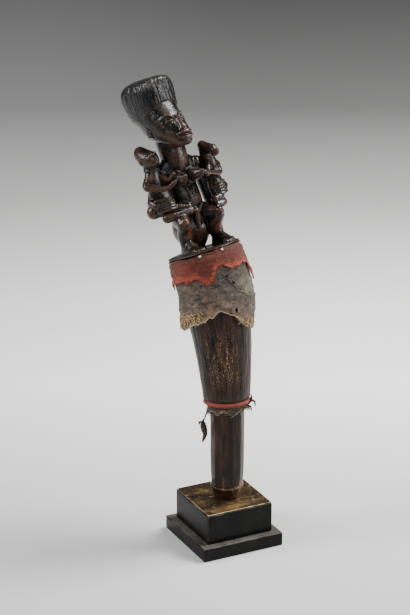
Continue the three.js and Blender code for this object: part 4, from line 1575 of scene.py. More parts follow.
def on_side(side: Side, place: Place) -> Place:
    """Puts a place on the mother's left or right."""
    return (side.value * place[0], place[1], place[2])


def joints_on(side: Side, joints: Sequence[Joint]) -> list[Joint]:
    """Puts joints on the mother's left or right."""
    return [(on_side(side, place), radius) for place, radius in joints]


def loop(centre: Place, half_x: float, half_y: float, tube: float, tilt: float = 0.0) -> Shape:
    """Makes an oval ring, such as a collar or a bracelet, tipped forward by tilt degrees.

    Args:
        centre: Its middle.
        half_x: Half its width.
        half_y: Half its depth.
        tube: The radius of its bar.
        tilt: The tip, in degrees.

    Returns:
        The ring.
    """
    turns = np.radians(np.arange(0, 360, 36))
    ring = [(LOOP_RADIUS + math.cos(t) * LOOP_TUBE, math.sin(t) * LOOP_TUBE) for t in turns]
    shape = Shape.turned(ring, 40)

    def fit(p: np.ndarray) -> np.ndarray:
        """Draws the round ring out to its oval and its own thickness.

        Args:
            p: The round ring's corners.

        Returns:
            Their places.
        """
        reach = from_middle(p)
        out = (reach - LOOP_RADIUS) / LOOP_TUBE * tube
        flat = p[:, :2] / reach[:, None] * np.column_stack([half_x + out, half_y + out])
        return np.column_stack([flat, p[:, 2] / LOOP_TUBE * tube])

    turn = Matrix.Rotation(math.radians(tilt), 4, "X")
    return shape.warp(fit).placed(Matrix.Translation(centre) @ turn)


def reach_to(points: np.ndarray, path: Sequence[Place]) -> np.ndarray:
    """Gives how far each point is from a path of straight lines.

    Args:
        points: The points.
        path: The path's corners.

    Returns:
        One distance for each point.
    """
    best = np.full(len(points), np.inf)
    knots = np.array(path, float)
    for a, b in zip(knots, knots[1:]):
        way = b - a
        share = np.clip(((points - a) @ way) / max(way @ way, TINY), 0, 1)
        best = np.minimum(best, np.linalg.norm(points - a - share[:, None] * way, axis=1))
    return best


@dataclass(frozen=True)
class Cut:
    """One stroke of the knife: a groove along a path, or a ridge where its depth is below 0."""

    path: tuple[Place, ...]
    width: float
    depth: float

    @classmethod
    def on(cls, side: Side, path: Iterable[Place], width: float, depth: float) -> "Cut":
        """Makes the stroke on the mother's left or right."""
        return cls(tuple(on_side(side, place) for place in path), width, depth)

    def amount(self, points: np.ndarray) -> np.ndarray:
        """Gives how far the stroke moves each point along its normal."""
        smooth = smooth_table(np.array(self.path, float), RINGS_PER_GAP)
        return -self.depth * np.exp(-((reach_to(points, smooth) / self.width) ** 2))


@dataclass
class Head:
    """A head and its face, from the chin at height 0."""

    skull: Sequence[Sequence[float]]
    nose: Sequence[Sequence[float]]
    lips: Sequence[Sequence[Joint]]
    brow: Sequence[Joint]
    eye: tuple[Place, Place]
    ear: tuple[Place, Place]

    def forms(self) -> list[Shape]:
        """Makes the skull, nose, lips, brows, closed eyes and ears.

        Returns:
            The forms.
        """
        shapes = [Shape.stack(self.skull), Shape.stack(self.nose, 16)]
        for upper in self.lips:
            mirrored = [((-p[0], p[1], p[2]), r) for p, r in reversed(upper[1:])]
            shapes.append(Shape.limb([*mirrored, *upper], 12))
        up, _, front, wide = self.nose[1][:4]
        wing = (wide * 0.72, front + 0.8, up - 1.2)
        for side in Side:
            shapes.append(Shape.limb(joints_on(side, self.brow), 12))
            shapes.append(Shape.ball(on_side(side, self.eye[0]), self.eye[1]))
            shapes.append(Shape.ball(on_side(side, self.ear[0]), self.ear[1]))
            shapes.append(Shape.ball(on_side(side, wing), wide * 0.42, 2))
        return shapes


MOTHER_HEAD = Head(
    skull=[
        (0, 0, -20.5, 7, 5.5, 2), (2.8, 0, -17.3, 9.6, 13, 2), (7.7, 0, -11.4, 13, 19, 2),
        (13.5, 0, -4, 15.8, 24.8, 2.2), (19.4, 0, -0.2, 17.2, 24.6, 2.3), (26, 0, 3, 17.9, 24.9, 2.3),
        (33, 0, 7.2, 18.3, 26, 2.3), (46, 0, 12, 18, 25.4, 2.4),
    ],
    nose=[
        (15.2, 0, -26.6, 3.6, 2.2, 2), (17.5, 0, -27.4, 4.4, 3.4, 2), (20.5, 0, -26, 3.4, 3.4, 2),
        (26, 0, -22.6, 2.1, 2.8, 2), (31, 0, -19, 1.9, 2.0, 2),
    ],
    lips=[
        [((0, -30.6, 13.5), 1.9), ((4.4, -29.6, 13.3), 1.8), ((8.3, -26.6, 12.1), 1.1)],
        [((0, -30.2, 7.8), 2.1), ((4.6, -29.1, 8.2), 1.9), ((8.2, -26.4, 10.2), 1.0)],
    ],
    brow=[
        ((2.6, -20.4, 28.5), 1.0), ((6, -19.6, 31.8), 1.25), ((9.6, -17.4, 32.8), 1.2),
        ((13.6, -13.2, 30.6), 0.8),
    ],
    eye=((7.4, -19.1, 26.6), (4.3, 2.6, 2.7)),
    ear=((17.1, 4.5, 21), (2.1, 4.0, 5.6)),
)

CHILD_HEAD = Head(
    skull=[
        (0, 0, -4, 5, 7, 2), (1.5, 0, -3.4, 6.6, 9.8, 2), (5.5, 0, -1.8, 8.2, 12.2, 2),
        (10, 0, 0, 9, 12.8, 2), (13, 0, 1.8, 8.6, 11.8, 2), (16, 0, 4.4, 7.4, 9.4, 2),
        (19, 0, 6.9, 5.2, 6.2, 2), (21.6, 0, 7.6, 2.8, 3.2, 2),
    ],
    nose=[
        (6.3, 0, -13.4, 1.6, 1.2, 2), (7.6, 0, -13.8, 2.0, 1.6, 2), (9.4, 0, -12.6, 1.5, 1.5, 2),
        (12.8, 0, -9.8, 1.0, 1.1, 2),
    ],
    lips=[
        [((0, -14.1, 5.6), 0.95), ((2, -13.6, 5.5), 0.9), ((3.8, -12.2, 5.0), 0.55)],
        [((0, -13.7, 3.2), 1.0), ((2.1, -13.1, 3.4), 0.95), ((3.7, -11.9, 4.2), 0.5)],
    ],
    brow=[((1.2, -11.4, 12.6), 0.6), ((3.4, -10.4, 13.8), 0.7), ((6.2, -7.6, 13.2), 0.5)],
    eye=((3.5, -10.1, 11.1), (2.0, 1.5, 1.4)),
    ear=((8.4, 2, 7), (1.2, 2.0, 2.7)),
)


@dataclass
class Child:
    """A child on the mother's thigh: its trunk, head, seat and limbs."""

    trunk: Sequence[Sequence[float]]
    chin: Place
    head_size: Place
    head_turn: float
    seat: tuple[Place, float]
    limbs: Sequence[Sequence[Joint]]
    collar: tuple[Place, float, float]
    nape: tuple[Place, Place]

    def head_frame(self) -> Matrix:
        """Gives the frame of the head, with its chin at the origin."""
        turn = Matrix.Rotation(math.radians(self.head_turn), 4, "Z")
        return Matrix.Translation(self.chin) @ turn @ Matrix.Diagonal((*self.head_size, 1))

    def forms(self) -> list[Shape]:
        """Makes the child, its close cap and its collar.

        Returns:
            The forms.
        """
        cap = [
            (12.8, 0, 1.7, 9.1, 12.3, 2), (14.5, 0, 3.1, 8.4, 11.2, 2), (16, 0, 4.4, 7.9, 9.9, 2),
            (19, 0, 6.9, 6.0, 7.0, 2), (21.6, 0, 7.6, 3.6, 4.0, 2), (22.9, 0, 7.2, 1.4, 1.4, 2),
        ]
        brim = Shape.stack(cap)
        brim.warp(lambda p: p - np.outer((p[:, 2] < 15) * 0.14 * (p[:, 1] + 4), (0, 0, 1)))
        head = [s.placed(self.head_frame()) for s in (*CHILD_HEAD.forms(), brim)]
        shapes = [Shape.stack(self.trunk), *head, Shape.ball(*self.seat)]
        shapes += [Shape.limb(joints) for joints in self.limbs]
        return [*shapes, Shape.ball(*self.nape), loop(*self.collar, 0.75, 6)]


RIGHT_CHILD = Child(
    trunk=[
        (43, -30, 4, 7, 6, 2), (49, -27, 3.6, 12, 8.4, 2), (60, -25.8, 2.6, 12.4, 7.8, 2),
        (70, -27, 1.8, 11.6, 7.2, 2), (78, -30, 0.8, 10, 6.8, 2), (83, -29.4, 0.4, 9, 6.4, 2),
        (87, -28.6, 0.5, 8, 6.2, 2), (96, -28.4, 1.5, 7, 6.4, 2),
    ],
    chin=(-28.7, 2, 90.6),
    head_size=(1, 1, 1),
    head_turn=10,
    seat=((-36.5, 7, 48.2), 7.4),
    limbs=[
        [
            ((-35.4, 2.5, 79.4), 4), ((-39.8, -0.5, 73), 4), ((-31, -8.5, 68), 3.0), ((-23, -13, 67.6), 2.6),
            ((-17.5, -17, 71), 2.3),
        ],
        [((-24.6, -2.5, 81), 3.8), ((-19.5, -9.5, 74.5), 3), ((-14, -12, 79), 2.2)],
        [((-36.3, 7, 48), 6.6), ((-22, -4, 46), 6), ((-7, -9.5, 43.2), 4.4)],
        [((-7, -10.5, 39.8), 4.2), ((-27, -9, 39), 4.4), ((-31.5, -6, 39), 5)],
    ],
    collar=((-28.6, 0.6, 88.6), 8.0, 6.6),
    nape=((-28.6, 4.5, 92.5), (6.2, 5.0, 6.0)),
)
LEFT_CHILD = Child(
    trunk=[
        (43, 33, -2, 6.4, 6, 2), (48, 33, -3, 7.8, 7.4, 2), (56, 32, -4.4, 8.2, 6.8, 2),
        (64, 32.2, -5.6, 8, 6.2, 2), (71, 32.8, -6.6, 8.4, 6.2, 2), (76, 32.4, -7.4, 8, 6.2, 2),
        (79.5, 32, -7.6, 7.0, 6, 2), (87, 32, -7.0, 6.4, 6.2, 2),
    ],
    chin=(35.4, -6.5, 82.2),
    head_size=(0.73, 0.73, 0.82),
    head_turn=30,
    seat=((33.6, 0.6, 47.6), 7),
    limbs=[
        [((39, -7, 75), 3.8), ((37, -10.5, 66), 3.4), ((26, -17, 68), 2.5), ((14, -24, 71.5), 2.2)],
        [((27.5, -9, 75), 3.6), ((22, -15.5, 69), 2.8), ((17, -21, 68), 2.2)],
        [((33, -1, 48.5), 7.2), ((30, -10, 43.4), 4.6), ((22.4, -12.5, 42.6), 4.2)],
        [((33, -3, 40), 5), ((31, -11.5, 36.6), 3.8), ((22.4, -13.4, 36.2), 3.5)],
    ],
    collar=((32.2, -7.2, 80.6), 6.3, 5.9),
    nape=((31.6, -3.2, 89), (5.2, 5.0, 8.6)),
)


@dataclass
class Arm:
    """One of the mother's arms, led round a child, with a bracelet and a hand laid on the child's hip."""

    side: Side
    elbow: Place
    wrist: Place
    knuckles: Place
    tips: Place
    bow: float
    shoulder: Place = (21.6, 2.5, 82)
    finger_pitch: float = 2.75

    def finger(self, row: float, share: float, lift: float = 0.0) -> Vector:
        """Gives a place on a finger, or between two, by its row from the middle and its share of the length.

        Args:
            row: How many fingers up from the middle.
            share: How far along, from knuckle to tip.
            lift: How far above the middle of the finger.

        Returns:
            The place.
        """
        knuckles, tips = Vector(self.knuckles), Vector(self.tips)
        way = (tips - knuckles).normalized()
        up = (Vector((0, 0, 1)) - way * way.z).normalized()
        out = up.cross(way) * self.side.value
        bulge = self.bow * math.sin(math.pi * min(max(share, 0.0), 1.0)) + lift
        return knuckles.lerp(tips, share) + up * row * self.finger_pitch + out * bulge

    def cuts(self) -> list[Cut]:
        """Gives the grooves between the fingers.

        Returns:
            The strokes.
        """
        shares = (0.05, 0.35, 0.65, 0.95)
        rows = [[tuple(self.finger(i - 1.5, share, 0.7)) for share in shares] for i in range(4)]
        return [Cut(tuple(path), 0.55, 0.9) for path in rows]

    def forms(self) -> list[Shape]:
        """Makes the arm, its bracelet and its hand.

        Returns:
            The forms.
        """
        shoulder = on_side(self.side, self.shoulder)
        s, e, w = (Vector(v) for v in (shoulder, self.elbow, self.wrist))
        upper = s.lerp(e, 0.45) + Vector((self.side.value * 0.6, 0.4, 0))
        fore = e.lerp(w, 0.35)
        arm = [(tuple(s), 6.8), (tuple(upper), 6.7), (tuple(e), 5.6), (tuple(fore), 5.5), (tuple(w), 3.9)]
        shapes = [Shape.limb(arm, 24)]
        shapes.append(Shape.limb([(tuple(w), 3.8), (tuple(w.lerp(Vector(self.knuckles), 0.8)), 4.1)], 18))
        for i in range(5):
            short = 1 - 0.05 * abs(i - 1.6)
            rows = [(tuple(self.finger(i - 2, share * short)), thick)
                    for share, thick in ((-0.05, 1.5), (0.25, 1.55), (0.5, 1.55), (0.75, 1.5), (1.0, 1.2))]
            shapes.append(Shape.limb(rows, 12))
        turn = Vector((0, 0, 1)).rotation_difference((w - e).normalized()).to_matrix().to_4x4()
        cuff = loop((0, 0, 0), 4.35, 4.35, 0.7)
        return [*shapes, cuff.placed(Matrix.Translation(e.lerp(w, 0.9)) @ turn)]


RIGHT_ARM = Arm(Side.RIGHT, (-31.5, 12, 57), (-38.5, 1.5, 57), (-37, -4.5, 52.4), (-20.5, -10.5, 52), 2.6)
LEFT_ARM = Arm(Side.LEFT, (29.4, 8, 41), (41, 0, 54), (41, -6.5, 51.6), (25, -11.5, 51.2), 4.4)


@dataclass
class Carving:
    """The mother, seated on a stool on a round disc with a child on each thigh, as one piece of wood."""

    rim_radius: float = 36.6
    disc_radius: float = 34.6
    disc_height: float = 8.0
    turn: float = 5.0
    head_foot: float = 101.5
    head_turn: float = 8.0
    hip: Joint = ((10, 5, 36), 9.2)
    thigh: Joint = ((16.4, -4.6, 32.4), 9.4)
    knee: Joint = ((20.4, -13.6, 29.4), 6.7)
    calf: Joint = ((17.6, -6, 20), 7.8)
    ankle: Joint = ((18.2, -4, 8), 6.8)
    brow: Place = (-3, -17, 141)
    brow_reach: float = 13.0
    fall: float = 0.33
    voxel: float = 0.56
    most_triangles: int = 192000
    finish: CarvedWood = CarvedWood()

    def head_frame(self) -> Matrix:
        """Gives the frame of the mother's head, with its chin at the origin."""
        turn = Matrix.Rotation(math.radians(self.head_turn), 4, "Z")
        return Matrix.Translation((0, 0, self.head_foot)) @ turn

    def _disc(self) -> Shape:
        """Makes the disc, with a low slope inside its rim.

        Returns:
            The disc.
        """
        rim, flat, high = self.rim_radius, self.disc_radius, self.disc_height
        profile = [
            (0, -high), (flat - 0.4, -high), (flat, -high + 0.4), (flat, -2.5), (rim - 0.3, -2.3),
            (rim, -2.0), (rim, -1.5), (rim - 0.4, -1.15), (rim - 6, 0), (0, 0),
        ]
        return Shape.turned(profile, 128)

    def _stool(self) -> Shape:
        """Makes the rounded stool, which narrows to its foot.

        Returns:
            The stool.
        """
        knots = np.array([(7.6, -1), (8.2, 1.5), (11, 5), (15, 10), (18, 15), (19.2, 22), (17, 32)])
        profile = [(0, -1), *smooth_table(knots, 5), (0, 33)]
        return Shape.turned(profile, 64).placed(Matrix.Translation((1.2, 11.9, 0)))

    def _foot(self, side: Side) -> list[Shape]:
        """Makes a foot with a ridge along its instep, and its toes.

        Args:
            side: Which foot.

        Returns:
            The foot and its toes.
        """
        rows = [
            (0, 0, 0, 6, 7, 1.6), (4, 0, 0, 7.4, 13, 1.6), (10, 0, 0, 7.6, 14.6, 1.6),
            (16, 0, 0, 7.4, 10.8, 1.7), (22, 0, 0, 7, 6.6, 1.8), (26.5, 0, 0, 5.6, 3.2, 1.9),
        ]
        foot = Shape.stack(rows).placed(Matrix.Rotation(math.pi / 2, 4, "X"))
        foot.warp(lambda p: np.column_stack([p[:, :2], p[:, 2] * np.where(p[:, 2] < 0, 0.4, 1.0)]))
        foot.placed(Matrix.Translation((side.value * self.ankle[0][0], 3, 0)))
        toes = []
        for i in range(5):
            across = (i - 2) * 2.35
            reach = -26.0 + 0.25 * abs(i - 1) ** 1.6
            x = side.value * (self.ankle[0][0] + across)
            toe = [((x, -17, 2.6), 1.5), ((x, -22, 2.2), 1.45), ((x, reach, 1.0), 1.25)]
            toes.append(Shape.limb(toe, 12))
        return [foot, *toes]

    def _legs(self) -> list[Shape]:
        """Makes the legs, which part at the knees, with their kneecaps and feet.

        Returns:
            The forms.
        """
        shapes = []
        joints = [self.hip, self.thigh, self.knee, self.calf, self.ankle]
        for side in Side:
            shapes.append(Shape.limb(joints_on(side, joints), 32))
            knee = Vector(on_side(side, self.knee[0]))
            shapes.append(Shape.ball(tuple(knee + Vector((0, -4.4, 1.2))), (4.0, 3.4, 4.6)))
            shapes += self._foot(side)
        return shapes

    def _trunk(self) -> list[Shape]:
        """Makes the trunk, neck, shoulders and breasts, the scars on the belly and the apron.

        Returns:
            The forms.
        """
        body = [
            (27, 0, 11, 14, 12, 2), (34, 0, 8.5, 17, 14.5, 2), (41, 0, 4.5, 16, 12.6, 2),
            (48, 0, 0.5, 14.6, 12.2, 2), (55, 0, 0.2, 14.2, 12, 2), (63, 0, 1.5, 14.4, 11.2, 2),
            (71, 0, 2.5, 16.5, 10.8, 2), (80, 0, 2.5, 22, 9.4, 2), (87, 0, 2.2, 22.4, 8.4, 2),
            (94, 0, 1.6, 13.6, 8.4, 2),
        ]
        neck = [
            (78, 0, 1, 12, 10, 2), (90, 0, 0.8, 13.2, 12.6, 2), (100, 0, 0.8, 13.6, 13, 2),
            (114, 0, 1.5, 13.6, 13, 2),
        ]
        shapes = [Shape.stack(body, 64), Shape.stack(neck, 64)]
        for side in Side:
            breast = [
                ((8, -6, 73), 7.2), ((9.4, -18, 72), 5.8), ((9.8, -24.5, 73), 3.2), ((10, -28, 74), 1.6),
            ]
            shapes.append(Shape.ball(on_side(side, LEFT_ARM.shoulder), 7.6))
            shapes.append(Shape.limb(joints_on(side, breast), 28))
            shapes.append(Shape.limb(joints_on(side, [((4, -11.1, 62), 1.0), ((1.8, -12.0, 52), 0.8)]), 12))
        shapes.append(Shape.limb([((0, -8.4, 37), 4), ((0, -6.6, 30), 3.7), ((0, -4.6, 22), 3.2)], 20))
        return shapes

    def _coiffure(self) -> Shape:
        """Makes the flared coiffure. Its lower edge is the hairline, which falls towards the back.

        Returns:
            The coiffure.
        """
        rows = [
            (48, 0, 11.6, 18.9, 26.4, 2.4), (49.5, 0, 12, 19.6, 26.8, 2.5),
            (54.5, 0, 12.8, 20.4, 27.6, 2.8), (60, 0, 13.3, 21, 28.3, 3), (65.5, 0, 11.6, 20.4, 27, 3),
            (70.5, 0, 9.6, 16.6, 23.6, 2.8), (73.2, 0, 9, 9, 14, 2.4),
        ]
        foot, crown = rows[0][0], rows[-1][0]

        def sink(p: np.ndarray) -> np.ndarray:
            """Lets the hairline fall towards the back and at the temples.

            Args:
                p: The coiffure's corners.

            Returns:
                Their places.
            """
            up = np.clip((p[:, 2] - foot) / (crown - foot), 0, 1)
            drop = (self.fall * (p[:, 1] + 16) + self._temple(p)) * (1 - up) ** 2
            return p - np.column_stack([drop * 0, 0.3 * drop, drop])

        return Shape.stack(rows, 96).warp(sink)

    @staticmethod
    def _temple(local: np.ndarray) -> np.ndarray:
        """Gives how far the hairline falls at the temples."""
        side = smoothstep(np.abs(local[:, 0]), 6, 19) * np.where(local[:, 0] > 0, 7.0, 2.5)
        return side * smoothstep(-local[:, 1], -14, -2)

    def _forms(self) -> list[Shape]:
        """Makes every form that the carving is joined from.

        Returns:
            The forms, each closed.
        """
        crown = [s.placed(self.head_frame()) for s in (*MOTHER_HEAD.forms(), self._coiffure())]
        shapes = [self._disc(), self._stool(), *self._legs(), *self._trunk(), *crown]
        return shapes + [s for part in (RIGHT_ARM, LEFT_ARM, RIGHT_CHILD, LEFT_CHILD) for s in part.forms()]

    @staticmethod
    def _face_cuts(size: float, head: Head) -> list[Cut]:
        """Gives the strokes of a face: eyelids, nostrils, the rims of the ears and the line of the mouth.

        Args:
            size: The strokes' size.
            head: The head.

        Returns:
            The strokes, in the head's frame.
        """
        (x, y, z), (wide, deep, _) = head.eye
        lid = [(x - wide, y - deep * 0.35, z - 0.3), (x, y - deep * 1.02, z - 0.9 * size),
               (x + wide, y - deep * 0.1, z - 0.3)]
        crease = [(x - wide, y - deep * 0.1, z + 1.8 * size), (x, y - deep * 0.6, z + 2.4 * size),
                  (x + wide, y + deep * 0.5, z + 1.4 * size)]
        up, _, front, wide, deep, _ = head.nose[0]
        x, y, z = wide * 0.45, front - deep * 0.3, up - 0.5
        nostril = [(x, y, z), (x * 1.3, y + 0.8, z)]
        (x, y, z), (out, deep, high) = head.ear
        turns = ((-0.25, 0.55), (0.35, 0.45), (0.4, -0.1), (0.0, -0.5))
        rim = [(x + out * 0.8, y + deep * back, z + high * rise) for back, rise in turns]
        upper, lower = head.lips
        cuts = []
        for side in Side:
            cuts.append(Cut.on(side, lid, 0.62 * size, 0.6 * size))
            cuts.append(Cut.on(side, crease, 0.8 * size, 0.5 * size))
            cuts.append(Cut.on(side, nostril, 0.8 * size, 0.9 * size))
            cuts.append(Cut.on(side, rim, 0.75 * size, 0.8 * size))
        part = [tuple((np.array(a[0]) + np.array(b[0])) / 2) for a, b in zip(upper, lower)]
        line = [(-x, y, z) for x, y, z in reversed(part[1:])] + part
        cuts.append(Cut(tuple((x, y - 0.6 * size, z) for x, y, z in line), 0.7 * size, 0.9 * size))
        return cuts

    def _body_cuts(self) -> list[Cut]:
        """Gives the strokes on the bodies: fingers, kneecaps, shins and spines.

        Returns:
            The strokes.
        """
        cuts = [*RIGHT_ARM.cuts(), *LEFT_ARM.cuts()]
        for side in Side:
            x, y, z = on_side(side, self.knee[0])
            turns = np.radians([200, 245, 295, 340])
            under = [(x + 4.6 * math.cos(a), y - 6.6, z + 1 + 5.2 * math.sin(a)) for a in turns]
            turns = np.radians([150, 115, 65, 30])
            over = [(x + 4.8 * math.cos(a), y - 5.6, z + 1.4 + 5.4 * math.sin(a)) for a in turns]
            shin = [(self.knee[0][0], -14.5, 24), (18, -13.4, 17), (18, -12.4, 14.5)]
            cuts += [Cut(tuple(under), 1.0, 0.6), Cut(tuple(over), 1.0, 0.4), Cut.on(side, shin, 1.6, -0.5)]
        cuts.append(Cut(((0, 13.4, 84), (0, 12.6, 72), (0, 13.4, 60), (0, 17.6, 48)), 1.5, 1.0))
        for x, y, low, high in ((-19.6, 11.0, 52, 80), (36.3, 1.4, 50, 74)):
            cuts.append(Cut(tuple((x, y, z) for z in np.linspace(low, high, 4)), 1.1, 0.7))
        return cuts

    def _carve(self, skin: Skin) -> None:
        """Cuts the faces, the bodies' lines and the hair's strands, and leaves faint knife facets.

        Args:
            skin: The joined surface.
        """
        amount = sum(cut.amount(skin.points) for cut in self._body_cuts())
        frames = [(self.head_frame(), 1.25, MOTHER_HEAD)]
        frames += [(child.head_frame(), 0.62, CHILD_HEAD) for child in (RIGHT_CHILD, LEFT_CHILD)]
        for frame_of_head, size, head in frames:
            local = self._into(frame_of_head, skin.points)
            amount = amount + sum(cut.amount(local) for cut in self._face_cuts(size, head))
        skin.push(amount)
        hair, local = self._hair(skin)
        turn = np.arctan2(local[:, 1] - 11, local[:, 0])
        crown = smoothstep(skin.normals[:, 2], 0.55, 0.9)
        drawn = np.column_stack([np.cos(turn) * 22, np.sin(turn) * 22, local[:, 2] * 0.09])
        slanted = local @ np.array([[0.8, 0.0, 0.6], [0.0, 1.0, 0.0], [-0.6, 0.0, 0.8]]).T * (1, 1, 0.12)
        on_side_cut = 0.42 * wander(drawn, 1.15, 2, 6) + 0.2 * wander(slanted, 1.3, 1, 5)
        on_side_cut = on_side_cut + 0.14 * wander(drawn * (1, 1, 1.6), 4.5, 1, 3)
        on_top_cut = 0.4 * wander(local * (1, 0.12, 1), 1.4, 2, 9)
        skin.push(hair * ((1 - crown) * on_side_cut + crown * on_top_cut - 0.1))
        facets = wander(skin.points, 6.5, 2, 4)
        skin.push((1 - hair) * 0.2 * facets + 0.06 * wander(skin.points * (1, 1, 0.3), 1.8, 1, 7))

    @staticmethod
    def _into(matrix: Matrix, points: np.ndarray) -> np.ndarray:
        """Gives points in the coordinates of a frame."""
        inverse = np.array(matrix.inverted())
        return points @ inverse[:3, :3].T + inverse[:3, 3]

    def _hair(self, skin: Skin) -> tuple[np.ndarray, np.ndarray]:
        """Gives the mask of the mother's hair, and the points in her head's frame.

        Args:
            skin: The joined surface.

        Returns:
            The mask and the points.
        """
        local = self._into(self.head_frame(), skin.points)
        line = 48.2 - self.fall * (local[:, 1] + 16) - self._temple(local)
        return smoothstep(local[:, 2] - line, -0.7, 0.5), local

    def _paint(self, skin: Skin) -> None:
        """Paints where hands have worn the wood, where dust has settled, and the hair.

        Each spot that hands reach has its middle, its radius and its strength.

        Args:
            skin: The carved surface.
        """
        near, wide = skin.relief(7), skin.relief(50)
        hair, _ = self._hair(skin)
        up = skin.normals[:, 2]
        wear = 0.9 * smoothstep(near, 0.015, 0.16) + 0.8 * smoothstep(wide, 0.1, 1.3)
        wear = wear + 0.1 * smoothstep(-skin.normals[:, 1], 0.2, 0.9)
        spots = [
            ((-18.6, -13, 18), 8, 0.75), ((18, -13, 17), 8, 0.8), ((-20.4, -19, 30), 6, 0.5),
            ((20.4, -19, 30), 6, 0.5), ((-28, -10, 98), 7, 0.3), ((36, -14, 90), 6, 0.3),
            ((0, -28, 114), 9, 0.25), ((-14, -16, 112), 9, 0.1), ((-37, 4, 50), 9, 0.5),
            ((37, -8, 46), 7, 0.4), ((24, 3, 88), 6, 0.3), ((-21, -8, 54), 6, 0.3),
        ]
        bare = 0.12 + 0.25 * smoothstep(near, 0.03, 0.25)
        for centre, size, more in spots:
            bare = bare + more * np.exp(-((np.linalg.norm(skin.points - centre, axis=1) / size) ** 2))
        skin.paint("bare", skin.blurred(bare, 2))
        dust = 0.8 * smoothstep(-near, 0.03, 0.3) + 0.45 * smoothstep(-wide, 0.2, 1.6)
        on_disc = skin.points[:, 2] < 1
        ledge = smoothstep(from_middle(skin.points), 27, 33) * smoothstep(up, 0.6, 0.95) * on_disc
        brow = np.linalg.norm(skin.points - self.brow, axis=1)
        dust = dust + 0.9 * np.exp(-((brow / self.brow_reach) ** 2))
        dust = dust + 0.55 * ledge + 0.25 * smoothstep(up, 0.75, 1) * on_disc
        skin.paint("wear", skin.blurred(wear, 2))
        skin.paint("dust", skin.blurred(dust, 2))
        skin.paint("hair", hair)

    def build(self) -> None:
        """Makes the carving and dresses it."""
        rough = Shape().absorb(self._forms())
        name = "mother_and_children_carving"
        obj = linked(name, rough.mesh(name))
        obj = finished(obj, ("REMESH", {"mode": "VOXEL", "voxel_size": self.voxel, "adaptivity": 0.0}))
        skin = Skin(obj.data)
        skin.smooth(3)
        self._carve(skin)
        skin.smooth(1, 0.3)
        count = triangles(obj)
        log.info("carving joined: %d triangles", count)
        if count > self.most_triangles:
            obj = finished(obj, ("DECIMATE", {"ratio": self.most_triangles / count}))
        self._paint(Skin(obj.data))
        obj.data.transform(AXIS.top_frame(self.turn))
        piece(obj, self.finish.material(), "carving", "mother_and_children")


@dataclass
class ClothRing:
    """The roll of red cloth wound round the grip, under the horn."""

    outer: float = 23.4
    lower: float = 20.4
    inner: float = 17.8
    height: float = 5.8
    girth: float = 10.6
    finish: WovenCloth = WovenCloth(red=tone(98, 42, 34), bright=tone(146, 62, 50))

    def _wind(self, points: np.ndarray) -> np.ndarray:
        """Draws the turns of the wound cloth on the roll.

        Args:
            points: The roll's unbent points.

        Returns:
            Their new places.
        """
        angle, depth, radius = angle_and_depth(points)
        rise = (depth - RING_TOP) / self.height
        outside = smoothstep(radius, 19.2, 20.4)
        turn = np.radians(angle)
        winding = np.sin((rise + 0.06 * np.sin(turn * 2 + 1)) * 2 * math.pi * 3.2 + turn * 0.5)
        return swollen(points, outside * (0.28 * winding + 0.45 * wander(points, 6, 2, 4)))

    def build(self) -> None:
        """Makes the roll and dresses it."""
        inner, outer, lower, high = self.inner, self.outer, self.lower, self.height
        knots = np.array([
            (inner + 0.5, 0.2), (20.6, 0.05), (outer - 0.9, 0.5), (outer - 0.1, 1.7), (outer - 0.3, 3.2),
            (outer - 1.5, 4.5), (lower, high - 0.5), (19.2, high - 0.05), (inner + 0.5, high - 0.2),
        ])
        profile = [(inner, 0.6), *smooth_table(knots, 5), (inner, high - 0.6)]
        profile = [(r, -z - RING_TOP) for r, z in profile]
        mesh = bent(Shape.turned(profile, 180).warp(self._wind)).mesh("cloth_roll")
        skin = Skin(mesh)
        _, depth, _ = angle_and_depth(unbent(mesh))
        # Painted light: a painted highlight on the roll's upper turns and painted shade on the lower ones.
        skin.paint("fresh_and_lit", 0.35 + 0.5 * bump_between(depth, RING_TOP + 0.5, RING_TOP + 3.2, 0.8))
        skin.paint("soiled", 0.3 + 0.4 * smoothstep(depth, RING_TOP + 3, RING_TOP + 5))
        cloth = self.finish.material("red_cloth_roll")
        roll = piece(linked("cloth_roll", mesh), cloth, "cloth", "cloth_ring")


